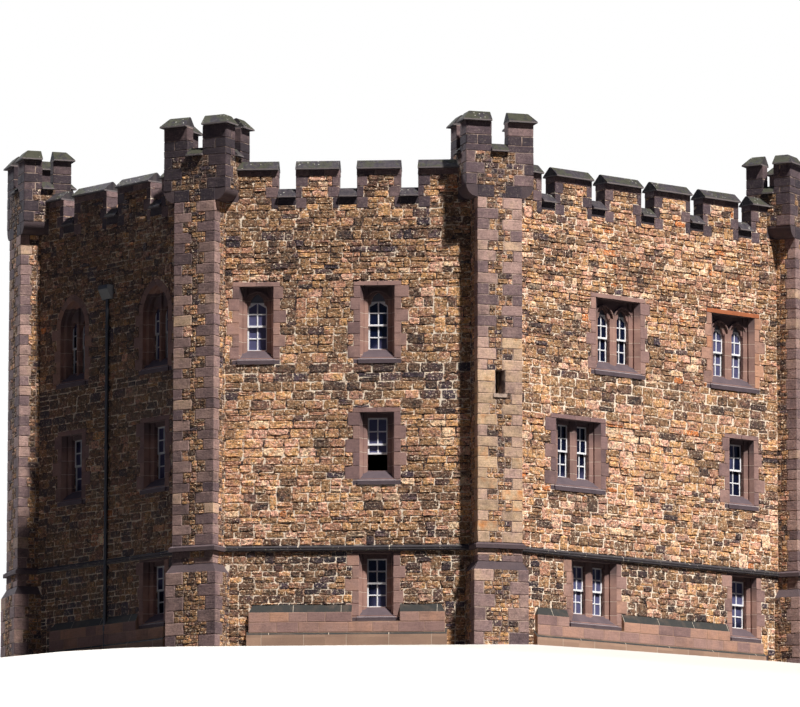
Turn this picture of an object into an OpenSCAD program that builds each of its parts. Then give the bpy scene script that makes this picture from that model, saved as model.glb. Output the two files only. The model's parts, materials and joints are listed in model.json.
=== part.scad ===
/* [Plan] */
// Length of the front wall, and of the back wall opposite, from corner to corner
front_w = 8700; // [8400:50:9000]
// Length of the front right wall, the longest, and of the wall opposite
front_right_w = 12000; // [11800:50:12400]
// Length of the right wall and of the left wall
side_w = 5600; // [5500:50:6000]
// Length of the front left wall and of the wall opposite
front_left_w = 8500; // [8400:50:8800]
// Thickness of the outer walls
wall_t = 1100; // [950:50:1250]
// Thickness of the parapet above the roof
parapet_t = 420; // [380:10:460]

/* [Heights above the ground] */
// Top of the thick walls, under the roof
wall_top = 12400; // [12300:50:12500]
// Top of the lead roof
roof_top = 12600; // [12550:50:12700]
// Sill of the embrasures, under their copings
embrasure_z = 13270; // [13250:10:13350]
// Top of the merlons, under their copings
merlon_top = 14090; // [14000:10:14200]
// Underside of the string course
string_z0 = 2830; // [2800:10:2860]
// Top of the string course
string_z1 = 3000; // [2980:10:3040]
// Top of the plinth's sloping stones
plinth_top = 1270; // [1200:10:1300]
// Top of the ground floor
ground_floor_z = 150; // [100:10:200]
// Top of the first floor
first_floor_z = 4150; // [4050:10:4250]
// Top of the second floor
second_floor_z = 7700; // [7600:10:7720]
// Thickness of the upper floors
floor_t = 300; // [250:10:350]

/* [Corner buttresses and turrets] */
// Width of a buttress
shaft_w = 1350; // [1300:10:1400]
// How far a buttress stands out from the corner
shaft_out = 350; // [320:10:400]
// Width of a turret
turret_w = 2060; // [2000:10:2120]
// Depth of a turret, front to back
turret_d = 1450; // [1400:10:1500]
// Bottom of the turret walls, above the corbels
turret_z = 13500; // [13450:10:13550]
// Floor of the turret's well
well_z = 13650; // [13600:10:13700]
// Sill of the turret's embrasures
turret_sill_z = 14500; // [14450:10:14550]
// Top of the turret's merlons, under their copings
turret_top = 15390; // [15350:10:15450]
// Thickness of the turret's walls
turret_t = 330; // [310:10:350]
// Width of the embrasure in the front of a turret
turret_gap = 520; // [440:10:560]
// Width of the embrasures in the sides of a turret
turret_side_gap = 360; // [320:10:400]
// Outer width of the slit in the front right corner buttress, and in the one opposite
slit_w = 300; // [260:10:340]

/* [Battlements] */
// Width of the embrasures of the walls
merlon_gap = 530; // [500:10:560]
// Height of a wall coping, from its drip to its ridge
coping_h = 300; // [260:10:320]
// Overhang of the copings past the masonry
coping_out = 110; // [90:5:120]
// Height of a turret coping
turret_coping_h = 310; // [290:10:350]
// Height of the upright edge of every coping
drip_h = 40; // [30:5:50]
// Radius of the rounded ridge of every coping
ridge_r = 90; // [80:5:100]

/* [Windows] */
// Width of the opening in the wall face of a single window
single_w = 1000; // [960:10:1040]
// Width of the opening in the wall face of a double window
double_w = 1770; // [1740:10:1800]
// Width of the opening in the wall face of an arched window
arched_w = 1200; // [1180:10:1240]
// Width of the light of a single window
single_light = 580; // [560:10:600]
// Width of each light of a double window
double_light = 470; // [450:10:480]
// Width of each light of an arched window
arched_light = 400; // [380:10:410]
// Distance between the middles of the lights of a double window
double_pitch = 750; // [740:5:760]
// Distance between the middles of the lights of an arched window
arched_pitch = 500; // [490:5:510]
// Sill of the ground floor windows
ground_sill = 950; // [930:10:970]
// Head of the ground floor windows
ground_head = 2760; // [2740:10:2780]
// Sill of the first floor windows
first_sill = 4950; // [4930:10:4970]
// Head of the first floor windows
first_head = 6900; // [6880:10:6920]
// Sill of the second floor windows
second_sill = 8520; // [8500:10:8540]
// Head of the second floor windows
second_head = 10640; // [10620:10:10660]
// Springing of the arched windows
arch_z = 10150; // [10120:10:10180]
// Rise of the arched windows
arch_rise = 800; // [780:10:820]
// Width of the dressed stone beside an opening
jamb_w = 200; // [180:10:220]
// Depth of the dressed stone, from the wall face to the back of its tracery
stone_d = 340; // [330:10:360]
// Thickness of the tracery
tracery_t = 90; // [80:5:100]
// Height by which the lower sash of the front wall's first floor window is raised
raised_by = 510; // [0:10:560]

/* [Hidden] */
$fn = 48;
SIDES = ["front", "front_right", "right", "back_right", "back", "back_left", "left", "front_left"];
CORNERS = ["front_left_corner", "front_right_corner", "right_front_corner", "right_back_corner",
           "back_right_corner", "back_left_corner", "left_back_corner", "left_front_corner"];
ONES = ["merlon_copings", "embrasure_copings", "turret_copings", "string_course", "plinth_course",
        "ground_window_surrounds", "first_window_surrounds", "second_window_surrounds",
        "window_sashes", "window_glass", "storey_floors", "roof_deck", "rainwater_pipe"];
WIDTHS = [front_w, front_right_w, side_w, front_left_w];
// Along a mitred end, the run along the wall for each unit of depth
mitre = tan(22.5);
big = 20000;
// Kinds of window, and storeys
SINGLE = 0;
DOUBLE = 1;
ARCHED = 2;
GROUND = 0;
FIRST = 1;
SECOND = 2;
STOREYS = [GROUND, FIRST, SECOND];
win_w = [single_w, double_w, arched_w];
light_w = [single_light, double_light, arched_light];
light_pitch = [0, double_pitch, arched_pitch];
sill_z = [ground_sill, first_sill, second_sill];
head_z = [ground_head, first_head, second_head];
// Windows of the first four walls, each as storey, distance of its middle from the wall's left corner, kind.
// The wall opposite has the same ones.
WINDOWS = [
    [[SECOND, 1660, SINGLE], [SECOND, 5220, SINGLE], [FIRST, 5210, SINGLE], [GROUND, 5200, SINGLE]],
    [[SECOND, 4790, DOUBLE], [SECOND, 9450, DOUBLE], [FIRST, 3200, DOUBLE], [FIRST, 9770, SINGLE],
     [GROUND, 3800, DOUBLE], [GROUND, 9840, SINGLE]],
    [[SECOND, 2800, SINGLE], [FIRST, 2800, SINGLE], [GROUND, 2800, SINGLE]],
    [[SECOND, 2360, ARCHED], [SECOND, 6390, ARCHED], [FIRST, 2360, SINGLE], [FIRST, 6390, SINGLE],
     [GROUND, 6390, SINGLE]]
];
// Whole merlons between the end merlons of the first four walls, and their length
MERLONS = [[2, 1270], [4, 1450], [1, 1300], [2, 1600]];
// The corners whose buttress has a slit
SLIT_CORNERS = [1, 5];
// Quarter round corbels carry the turret out to both sides of its buttress
corbel_r = (turret_w - shaft_w) / 2;
corbel_z = turret_z - corbel_r;
// Front of the plate that holds the lights
tracery_y = stone_d - tracery_t;
// A jamb's outer splay ends at order_y. Then a step leads back to a fillet, and a chamfer from it to the light.
order_y = 120;
fillet_y = 180;
fillet_w = 40;
chamfer_w = 90;
chamfer_d = 40;
// Springing of the arches over the lights of the second floor, below the head of the opening, and their rise
// for each unit of width
spring_drop = 560;
arch_share = 0.54;
// Springing of the cusps below the head, and height of a cusped head for each unit of width
cusp_drop = 620;
cusp_share = 0.763;
// The glass of a second floor sash has a pointed top, this far below the head, and its slopes rise by this
glass_drop = 440;
glass_rise = 150;
// The stone of a window below its opening, and over it
sill_h = 180;
lintel_h = 130;
// Rise of the sill from its front edge to the sash, and how far its edge stands out
sill_rise = 260;
sill_out = 40;
sill_edge = 60;
// Thickness of a sash, and width of its stiles and rails
sash_t = 45;
stile = 55;
// How far a sash laps behind the stone
sash_lap = 15;
glass_t = 6;
// The rainwater pipe's distance from the left corner of the front left wall, and its radius
pipe_s = 4150;
pipe_r = 55;

function side_len(k) = WIDTHS[k % 4];
function heading(k) = [cos(45 * k), sin(45 * k)];
function walk(k) = k == 0 ? [0, 0] : walk(k - 1) + side_len(k - 1) * heading(k - 1);
// Left corner of wall k, with the middle of the plan at the origin
function corner(k) = walk(k) - walk(4) / 2;

// Wall k's frame: X along its face from its left corner, Y inwards
module on_wall(k) {
    translate([corner(k).x, corner(k).y, 0]) rotate([0, 0, 45 * k]) children();
}

// The frame of the corner at the left end of wall k: Y inwards along the line that halves its angle
module on_corner(k) {
    translate([corner(k).x, corner(k).y, 0]) rotate([0, 0, 45 * k - 22.5]) children();
}

module both_ways() {
    children();
    mirror([1, 0, 0]) children();
}

module plan_slab(points, z0, z1) {
    translate([0, 0, z0]) linear_extrude(z1 - z0) polygon(points);
}

// Extrudes an outline drawn as [depth, height] along the wall, from x0 to x1
module along(x0, x1) {
    translate([x0, 0, 0]) rotate([90, 0, 90]) linear_extrude(x1 - x0) children();
}

// Extrudes an outline drawn as [along, height] inwards, from y0 to y1
module inward(y0, y1) {
    translate([0, y1, 0]) rotate([90, 0, 0]) linear_extrude(y1 - y0) children();
}

// Plan of a wall strip with mitred ends, from depth d0 to depth d1
function strip(len, d0, d1) = [
    [d0 * mitre, d0], [len - d0 * mitre, d0], [len - d1 * mitre, d1], [d1 * mitre, d1]
];

// Distance along a wall from its corner to the side of a buttress or turret that is w wide, at depth d
function clear(w, d) = w / 2 / cos(22.5) + d * mitre;

// Plan outside the two wall faces at a corner, w wide and out to p
function wedge(w, p) = [
    [-w / 2, -p], [w / 2, -p], [w / 2, w / 2 * mitre], [0, 0], [-w / 2, w / 2 * mitre]
];

// Windows
module pointed(w, bottom, spring, rise) {
    $fn = 180;
    radius = (w * w / 4 + rise * rise) / w;
    translate([-w / 2, bottom]) square([w, spring - bottom]);
    intersection() {
        translate([w / 2 - radius, spring]) circle(radius);
        translate([radius - w / 2, spring]) circle(radius);
        translate([-w / 2, spring]) square([w, rise + 10]);
    }
}

// A light with a cusped head: two small side lobes and a wide pointed top one
module cusped(w, bottom, spring) {
    $fn = 120;
    translate([-w / 2, bottom]) square([w, spring - bottom]);
    for (side = [-1, 1]) translate([side * 0.28 * w, spring]) circle(0.215 * w);
    intersection() {
        translate([-0.26 * w, spring + 0.20 * w]) circle(0.62 * w);
        translate([0.26 * w, spring + 0.20 * w]) circle(0.62 * w);
        translate([-w / 2, spring]) square([w, w]);
    }
}

function is_traceried(storey, kind) = storey == SECOND && kind != ARCHED;
function light_top(storey, kind) =
    kind == ARCHED ? arch_z + 200
    : is_traceried(storey, kind) ? head_z[storey] - cusp_drop + cusp_share * light_w[kind]
    : head_z[storey] - 130;
function light_bottom(storey) = sill_z[storey] + sill_rise;
function glazed_w(kind) = light_w[kind] + light_pitch[kind];
function stone_top(storey) = storey == GROUND ? string_z0 : head_z[storey] + lintel_h;

// Draws its children at the middle of each light
module lights(kind) {
    for (x = kind == SINGLE ? [0] : [-light_pitch[kind] / 2, light_pitch[kind] / 2])
        translate([x, 0]) children();
}

module light_shape(storey, kind) {
    w = light_w[kind];
    bottom = light_bottom(storey);
    top = light_top(storey, kind);
    if (kind == ARCHED) {
        pointed(w, bottom, top - 350, 350);
    } else if (is_traceried(storey, kind)) {
        cusped(w, bottom, head_z[storey] - cusp_drop);
    } else {
        translate([-w / 2, bottom]) square([w, top - bottom]);
    }
}

// Outline of the dressed stone in the wall face
module stone_outline(storey, kind) {
    w = win_w[kind] + 2 * jamb_w;
    bottom = sill_z[storey] - sill_h;
    if (kind == ARCHED) {
        pointed(w, bottom, arch_z, arch_rise + jamb_w);
    } else {
        translate([-w / 2, bottom]) square([w, stone_top(storey) - bottom]);
    }
}

// The space behind the dressed stone, wider at the inner face
module inner_splay(storey, kind) {
    half = glazed_w(kind) / 2 + 30;
    inner = half + 200;
    top = kind == ARCHED ? arch_z + 700 : head_z[storey];
    plan_slab([[-half, stone_d - 1], [half, stone_d - 1], [inner, wall_t + 1], [-inner, wall_t + 1]],
              light_bottom(storey) - 40, top);
}

module window_hole(storey, kind) {
    inward(-1, stone_d) stone_outline(storey, kind);
    inner_splay(storey, kind);
}

// Half the plan of a splayed opening, from the wall face in to the plate
function half_reveal(w, half) = [
    [0, -1], [w / 2, -1], [w / 2, 0],
    [half + chamfer_w + fillet_w, order_y], [half + chamfer_w + fillet_w, fillet_y], [half + chamfer_w, fillet_y],
    [half, fillet_y + chamfer_d], [half, tracery_y], [0, tracery_y]
];

module opening(storey, kind) {
    w = win_w[kind];
    sill = sill_z[storey];
    if (kind == ARCHED) {
        inward(-1, order_y) pointed(w, sill, arch_z, arch_rise);
        inward(order_y - 1, tracery_y) pointed(w - 260, sill, arch_z, arch_rise - 130);
    } else {
        both_ways() plan_slab(half_reveal(w, glazed_w(kind) / 2 + 5), sill, head_z[storey]);
    }
}

// The sloping sill, with an edge that stands out from the wall
module sill_stone(storey, kind) {
    half = win_w[kind] / 2 + 60;
    sill = sill_z[storey];
    along(-half, half)
        polygon([[-sill_out, sill - sill_h], [-sill_out, sill - sill_edge],
                 [tracery_y + 10, sill + sill_rise], [tracery_y + 10, sill - sill_h]]);
}

// The post between two lights, with a narrow nose. Under arches it ends at their springing.
module mullion(storey, kind) {
    half = (light_pitch[kind] - light_w[kind]) / 2;
    nose = 35;
    top = kind == ARCHED ? arch_z + arch_rise - 120
        : head_z[storey] + (is_traceried(storey, kind) ? 10 - spring_drop : 10);
    both_ways()
        plan_slab([[0, fillet_y], [nose, fillet_y], [half, fillet_y + chamfer_d], [half, tracery_y + 10],
                   [0, tracery_y + 10]], sill_z[storey] - 10, top);
}

// Pointed arches of a narrow rib over the lights, in front of the plate, with sunk spandrels between them
module rib_arches(storey, kind) {
    inside = light_w[kind] + 2 * chamfer_w + 20;
    spring = head_z[storey] - spring_drop;
    rise = arch_share * inside;
    rib = fillet_w + 5;
    inward(fillet_y, tracery_y + 1) lights(kind) difference() {
        pointed(inside + 2 * rib, spring - 20, spring, rise + rib);
        pointed(inside, spring - 30, spring, rise);
    }
}

module surround(storey, kind) {
    difference() {
        inward(0, stone_d) stone_outline(storey, kind);
        opening(storey, kind);
        inward(tracery_y - 1, stone_d + 1) lights(kind) light_shape(storey, kind);
    }
    sill_stone(storey, kind);
    if (kind != SINGLE) mullion(storey, kind);
    if (is_traceried(storey, kind)) rib_arches(storey, kind);
}

// Draws its children at each window of wall k on one storey
module each_window(k, storey) {
    for (w = WINDOWS[k % 4]) {
        if (w[0] == storey) translate([w[1], 0, 0]) {
            $kind = w[2];
            $raised = k == 0 && storey == FIRST ? raised_by : 0;
            children();
        }
    }
}

module surrounds(storey) {
    color("rosybrown") for (k = [0:7]) on_wall(k) each_window(k, storey) surround(storey, $kind);
}

// A sash window: the upper sash in front, the lower behind and below it
function sash_w(kind) = light_w[kind] + 2 * sash_lap;
function pane_w(kind) = sash_w(kind) - 2 * stile;
function sash_bottom(storey) = light_bottom(storey) - sash_lap;
function sash_head(storey, kind) = light_top(storey, kind) + sash_lap;
function glass_top(storey, kind) =
    is_traceried(storey, kind) ? head_z[storey] - glass_drop : sash_head(storey, kind) - stile;
function meeting_z(storey, kind) = (sash_bottom(storey) + glass_top(storey, kind) + stile) / 2;

// Outlines of the two panes of a light. Where slope is over 0 the pane is pointed.
module pane_outline(w, z0, z1, slope = 0) {
    polygon([[-w / 2, z0], [w / 2, z0], [w / 2, z1 - slope], [0, z1], [-w / 2, z1 - slope]]);
}

module upper_pane(storey, kind) {
    pane_outline(pane_w(kind), meeting_z(storey, kind) + stile / 2, glass_top(storey, kind),
                 is_traceried(storey, kind) ? glass_rise : 0);
}

module lower_pane(storey, kind) {
    pane_outline(pane_w(kind), sash_bottom(storey) + stile, meeting_z(storey, kind) - stile / 2);
}

// A sash between two levels, with its pane's outline as the child
module sash_frame(w, z0, z1, y0) {
    inward(y0, y0 + sash_t) difference() {
        translate([-w / 2, z0]) square([w, z1 - z0]);
        children();
    }
}

module sash_pair(storey, kind, raised) {
    w = sash_w(kind);
    mid = meeting_z(storey, kind);
    lights(kind) {
        sash_frame(w, mid - stile / 2, sash_head(storey, kind), stone_d) upper_pane(storey, kind);
        translate([0, 0, raised])
            sash_frame(w, sash_bottom(storey), mid + stile / 2, stone_d + sash_t) lower_pane(storey, kind);
    }
}

module glass_pair(storey, kind, raised) {
    y = stone_d + sash_t / 2;
    lights(kind) {
        inward(y, y + glass_t) upper_pane(storey, kind);
        translate([0, 0, raised]) inward(y + sash_t, y + sash_t + glass_t) lower_pane(storey, kind);
    }
}

module window_sashes() {
    color("white") for (k = [0:7], storey = STOREYS)
        on_wall(k) each_window(k, storey) sash_pair(storey, $kind, $raised);
}

module window_glass() {
    color("midnightblue") for (k = [0:7], storey = STOREYS)
        on_wall(k) each_window(k, storey) glass_pair(storey, $kind, $raised);
}

// A slit through a corner, splayed outside and inside, in the frame of that corner. Its inner sill slopes
// up to clear the second floor.
module slit(k) {
    throat = slit_w / 2 - 55;
    z = [7360, 8050];
    if (len(search(k, SLIT_CORNERS)) > 0) on_corner(k) intersection() {
        both_ways()
            plan_slab([[0, -big], [slit_w / 2, -big], [slit_w / 2, -shaft_out], [throat, -shaft_out + 120],
                       [throat, 200], [350, 1500], [0, 1500]], 0, big);
        along(-big, big)
            polygon([[-big, z[0]], [200, z[0]], [1500, second_floor_z + 150], [1500, z[1] + 250],
                     [200, z[1]], [-big, z[1]]]);
    }
}

module slit_sill(k) {
    if (len(search(k, SLIT_CORNERS)) > 0)
        translate([-slit_w / 2 - 60, -shaft_out - sill_out, 7250])
            cube([slit_w + 120, sill_out + 10, 110]);
}

// Walls
module wall(k) {
    color("peru") difference() {
        on_wall(k) plan_slab(strip(side_len(k), 0, wall_t), 0, wall_top);
        on_wall(k) for (storey = STOREYS) each_window(k, storey) window_hole(storey, $kind);
        slit(k);
        slit((k + 1) % 8);
    }
}

// Starts and lengths of the merlons of wall k
function merlon_count(k) = MERLONS[k % 4][0];
function merlon_len(k) = MERLONS[k % 4][1];
function merlon_start(k, i) =
    side_len(k) / 2 + (i - merlon_count(k) / 2) * (merlon_len(k) + merlon_gap) + merlon_gap / 2;
function end_merlon(k) = merlon_start(k, 0) - merlon_gap;

// What a turret takes out of the parapets, in the frame of its corner. End merlons start inside it.
module turret_room() {
    translate([-turret_w / 2, -shaft_out - 1, corbel_z]) cube([turret_w, turret_d + 1, big]);
}

module parapet(k) {
    length = side_len(k);
    edge = clear(shaft_w, 0);
    rise = merlon_top - embrasure_z;
    color("sienna") difference() {
        on_wall(k) {
            plan_slab(strip(length, 0, parapet_t), wall_top, embrasure_z);
            translate([0, 0, embrasure_z]) {
                for (i = [0:merlon_count(k) - 1])
                    translate([merlon_start(k, i), 0, 0]) cube([merlon_len(k), parapet_t, rise]);
                for (x = [edge, length - end_merlon(k)])
                    translate([x, 0, 0]) cube([end_merlon(k) - edge, parapet_t, rise]);
            }
        }
        on_corner(k) turret_room();
        on_corner((k + 1) % 8) turret_room();
    }
}

// Rounded ridge of a coping over masonry that is deep by this much
function ridge(depth, z) = [
    for (t = [-40:20:40]) [depth / 2 + ridge_r * sin(t), z - ridge_r + ridge_r * cos(t)]
];

// A saddleback coping over a piece of wall from x0 to x1, with its ridge along the middle
module saddleback(x0, x1, depth, z, h) {
    along(x0, x1)
        polygon(concat([[-coping_out, z], [-coping_out, z + drip_h]], ridge(depth, z + h),
                       [[depth + coping_out, z + drip_h], [depth + coping_out, z]]));
}

// Copings lap past the ends of the merlons, and those of the end merlons butt against the turrets
module merlon_copings() {
    lap = 12;
    color("darkolivegreen") for (k = [0:7]) difference() {
        length = side_len(k);
        edge = clear(shaft_w, 0);
        on_wall(k) {
            for (i = [0:merlon_count(k) - 1]) {
                x = merlon_start(k, i);
                saddleback(x - lap, x + merlon_len(k) + lap, parapet_t, merlon_top, coping_h);
            }
            saddleback(edge, end_merlon(k) + lap, parapet_t, merlon_top, coping_h);
            saddleback(length - end_merlon(k) - lap, length - edge, parapet_t, merlon_top, coping_h);
        }
        on_corner(k) turret_room();
        on_corner((k + 1) % 8) turret_room();
    }
}

module embrasure_copings() {
    color("darkolivegreen") for (k = [0:7], i = [0:merlon_count(k)]) {
        x = merlon_start(k, i);
        on_wall(k) saddleback(x - merlon_gap, x, parapet_t, embrasure_z, coping_h);
    }
}

// Buttresses
module hipped_block(w0, p0, w1, p1, z0, z1) {
    intersection() {
        plan_slab(wedge(w0, p0), z0, z1);
        inward(-big, big) polygon([[-w0 / 2, z0], [w0 / 2, z0], [w1 / 2, z1], [-w1 / 2, z1]]);
        along(-big, big) polygon([[-p0, z0], [big, z0], [big, z1], [-p1, z1]]);
    }
}

module buttress(k) {
    base_w = shaft_w + 300;
    base_out = shaft_out + 120;
    base_z = 2210;
    base_top = 2450;
    band = 90;
    slope_z = string_z1 - 60;
    color("dimgray") difference() {
        on_corner(k) {
            plan_slab(wedge(base_w, base_out), 0, base_z);
            hipped_block(base_w, base_out, shaft_w, shaft_out, base_z, base_top);
            plan_slab(wedge(shaft_w, shaft_out), base_top, corbel_z);
            plan_slab(wedge(shaft_w + 2 * band, shaft_out + band), string_z0, slope_z);
            hipped_block(shaft_w + 2 * band, shaft_out + band, shaft_w, shaft_out, slope_z, string_z1);
            slit_sill(k);
        }
        slit(k);
    }
}

// Turrets, with a low back wall between two short merlons
module turret(k) {
    w = turret_w;
    front = -shaft_out;
    back = turret_d - shaft_out;
    inside = [[-w / 2, w / 2 * mitre], [0, 0], [w / 2, w / 2 * mitre], [w / 2, back], [-w / 2, back]];
    color("dimgray") on_corner(k) difference() {
        union() {
            plan_slab(wedge(shaft_w, shaft_out), corbel_z, turret_z);
            plan_slab(inside, corbel_z, turret_z);
            intersection() {
                inward(front, w / 2 * mitre)
                    for (side = [-1, 1]) translate([side * shaft_w / 2, turret_z]) circle(corbel_r);
                plan_slab(wedge(w, shaft_out), corbel_z, turret_z);
            }
            translate([-w / 2, front, turret_z]) cube([w, turret_d, turret_top - turret_z]);
        }
        along(-w / 2 + turret_t, w / 2 - turret_t)
            polygon([[front + turret_t, big], [front + turret_t, well_z], [back - turret_t, well_z],
                     [back - turret_t, turret_sill_z], [back + 1, turret_sill_z], [back + 1, big]]);
        translate([-turret_gap / 2, front - 1, turret_sill_z]) cube([turret_gap, turret_t + 2, big]);
        translate([-w / 2 - 1, front + (turret_d - turret_side_gap) / 2, turret_sill_z])
            cube([w + 2, turret_side_gap, big]);
    }
}

// Outline that cuts a coping down to its outer slope
module outer_slope(z) {
    edge = [for (p = ridge(turret_t, z + turret_coping_h)) if (p.x <= turret_t / 2) p];
    polygon(concat([[big, z], [-coping_out, z], [-coping_out, z + drip_h]], edge,
                   [[big, z + turret_coping_h]]));
}

// A hipped coping with its outer corner at the origin: an arm of length a along X and one of length b along Y
module corner_coping(a, b) {
    z = turret_top;
    intersection() {
        union() {
            saddleback(-coping_out, a, turret_t, z, turret_coping_h);
            mirror([1, -1, 0]) saddleback(-coping_out, b, turret_t, z, turret_coping_h);
        }
        inward(-big, big) outer_slope(z);
        along(-big, big) outer_slope(z);
    }
}

// A coping with its outer corner at the origin, of length b along Y, hipped at its outer end
module side_coping(b) {
    intersection() {
        mirror([1, -1, 0]) saddleback(-coping_out, b, turret_t, turret_top, turret_coping_h);
        along(-big, big) outer_slope(turret_top);
    }
}

module turret_copings() {
    w = turret_w;
    side = (turret_d - turret_side_gap) / 2;
    inner = w / 2 - turret_t;
    gap_h = 260;
    color("darkolivegreen") for (k = [0:7]) on_corner(k) translate([0, turret_d / 2 - shaft_out, 0]) {
        both_ways() {
            translate([-w / 2, -turret_d / 2, 0]) corner_coping((w - turret_gap) / 2, side);
            translate([-w / 2, turret_d / 2, 0]) mirror([0, 1, 0]) side_coping(side);
            translate([-w / 2, 0, 0]) rotate([0, 0, -90])
                saddleback(-turret_side_gap / 2, turret_side_gap / 2, turret_t, turret_sill_z, gap_h);
        }
        translate([0, -turret_d / 2, 0])
            saddleback(-turret_gap / 2, turret_gap / 2, turret_t, turret_sill_z, gap_h);
        translate([0, turret_d / 2, 0]) mirror([0, 1, 0])
            saddleback(-inner, inner, turret_t, turret_sill_z, gap_h);
    }
}

// The notch that the courses leave for the rainwater pipe
module pipe_notch() {
    half = pipe_r + 20;
    translate([pipe_s - half, -big, 0]) cube([2 * half, big, big]);
}

// A band with a roll along its lower edge and a weathered top
module string_course() {
    out = 90;
    roll = 84;
    color("slategray") for (k = [0:7]) on_wall(k) difference() {
        a = clear(shaft_w + 2 * out, 0);
        length = side_len(k);
        intersection() {
            plan_slab([[a, 0], [a - out * mitre, -out], [length - a + out * mitre, -out], [length - a, 0]],
                      string_z0, string_z1);
            along(0, length) {
                polygon([[0, string_z0], [-30, string_z0], [-30, string_z0 + roll / 2],
                         [-out, string_z0 + roll], [-out, string_z1 - 60], [0, string_z1]]);
                translate([roll / 2 - out, string_z0 + roll / 2]) circle(roll / 2 - 4);
            }
        }
        if (k == 7) pipe_notch();
    }
}

// The plinth stands out between the buttresses, hipped at its ends, over a lower footing ledge
module plinth_course() {
    out = 120;
    set_in = 1490;
    slope_z = plinth_top - 230;
    ledge_out = 180;
    ledge_top = 380;
    color("rosybrown") for (k = [0:7]) on_wall(k) difference() {
        length = side_len(k);
        union() {
            intersection() {
                translate([set_in, -out, 0]) cube([length - 2 * set_in, out, plinth_top]);
                along(0, length) polygon([[0, 0], [-out, 0], [-out, slope_z], [0, plinth_top]]);
                inward(-out, 0)
                    polygon([[set_in, 0], [length - set_in, 0], [length - set_in, slope_z],
                             [length - set_in - out, plinth_top], [set_in + out, plinth_top],
                             [set_in, slope_z]]);
            }
            along(set_in - 60, length - set_in + 60)
                polygon([[0, 0], [-ledge_out, 0], [-ledge_out, ledge_top], [0, ledge_top + ledge_out]]);
        }
        each_window(k, GROUND) {
            w = win_w[$kind] + 2 * jamb_w;
            translate([-w / 2, -ledge_out - 1, ground_sill - sill_h]) cube([w, ledge_out + 2, big]);
        }
        if (k == 7) pipe_notch();
    }
}

// Floors and roof
function inner_plan(d) = [
    for (k = [0:7]) corner(k) + d / cos(22.5) * [sin(22.5 - 45 * k), cos(22.5 - 45 * k)]
];

module storey_floors() {
    color("tan") {
        plan_slab(inner_plan(wall_t), 0, ground_floor_z);
        for (z = [first_floor_z, second_floor_z]) plan_slab(inner_plan(wall_t), z - floor_t, z);
    }
}

module roof_deck() {
    color("lightslategray") plan_slab(inner_plan(parapet_t), wall_top, roof_top);
}

// A hopper under the battlements of the front left wall, its pipe, and the brackets that hold it
module rainwater_pipe() {
    pipe_y = -75;
    top = 10780;
    color("black") on_wall(7) translate([pipe_s, 0, 0]) {
        translate([0, pipe_y, 0]) cylinder(h = top, r = pipe_r);
        along(-230, 230)
            polygon([[0, top], [-100, top], [-260, top + 300], [-260, top + 420], [0, top + 420]]);
        for (z = [900:1800:9900]) {
            translate([-90, -60, z]) cube([180, 60, 60]);
            translate([0, pipe_y, z - 40]) cylinder(h = 140, r = pipe_r + 14);
        }
    }
}

// Draws wall, parapet, buttress or turret k where its name is asked for
for (k = [0:7]) wall(k);
for (k = [0:7]) parapet(k);
for (k = [0:7]) buttress(k);
for (k = [0:7]) turret(k);
merlon_copings();
embrasure_copings();
turret_copings();
string_course();
plinth_course();
surrounds(GROUND);  // ground_window_surrounds
surrounds(FIRST);  // first_window_surrounds
surrounds(SECOND);  // second_window_surrounds
window_sashes();
window_glass();
storey_floors();
roof_deck();
rainwater_pipe();
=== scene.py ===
"""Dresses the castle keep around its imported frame: laid stones, window dressings, glazing bars and leadwork,
with the materials, the light and the camera."""
import json
import math
import random
from collections import namedtuple
from itertools import pairwise

import bmesh
import bpy
from bpy.props import FloatProperty, FloatVectorProperty, IntProperty, PointerProperty
from mathutils import Euler, Matrix, Vector, noise

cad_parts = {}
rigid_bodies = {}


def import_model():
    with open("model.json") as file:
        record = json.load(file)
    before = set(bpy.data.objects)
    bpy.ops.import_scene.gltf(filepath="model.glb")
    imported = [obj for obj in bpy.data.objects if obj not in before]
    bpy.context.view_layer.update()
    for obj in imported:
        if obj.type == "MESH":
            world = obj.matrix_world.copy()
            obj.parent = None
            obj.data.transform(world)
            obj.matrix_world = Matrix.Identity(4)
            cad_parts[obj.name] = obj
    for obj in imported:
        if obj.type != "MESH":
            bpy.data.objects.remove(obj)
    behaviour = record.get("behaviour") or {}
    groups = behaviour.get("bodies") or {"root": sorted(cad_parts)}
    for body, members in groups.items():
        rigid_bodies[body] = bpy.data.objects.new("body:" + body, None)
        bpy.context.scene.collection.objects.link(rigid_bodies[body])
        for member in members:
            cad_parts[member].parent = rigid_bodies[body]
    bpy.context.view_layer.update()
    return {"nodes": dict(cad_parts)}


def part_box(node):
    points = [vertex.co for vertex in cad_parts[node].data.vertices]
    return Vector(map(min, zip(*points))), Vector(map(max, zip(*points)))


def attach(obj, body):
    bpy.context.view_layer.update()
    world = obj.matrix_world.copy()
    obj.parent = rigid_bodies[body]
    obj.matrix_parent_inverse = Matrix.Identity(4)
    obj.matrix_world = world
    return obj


bl_info = {
    "name": "Castle Keep",
    "version": (1, 0, 0),
    "blender": (4, 5, 0),
    "location": "View3D > Sidebar > Keep",
    "description": "Lays the stones, windows, leadwork, materials and light of a castle keep",
    "category": "Object",
}

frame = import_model()


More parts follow.
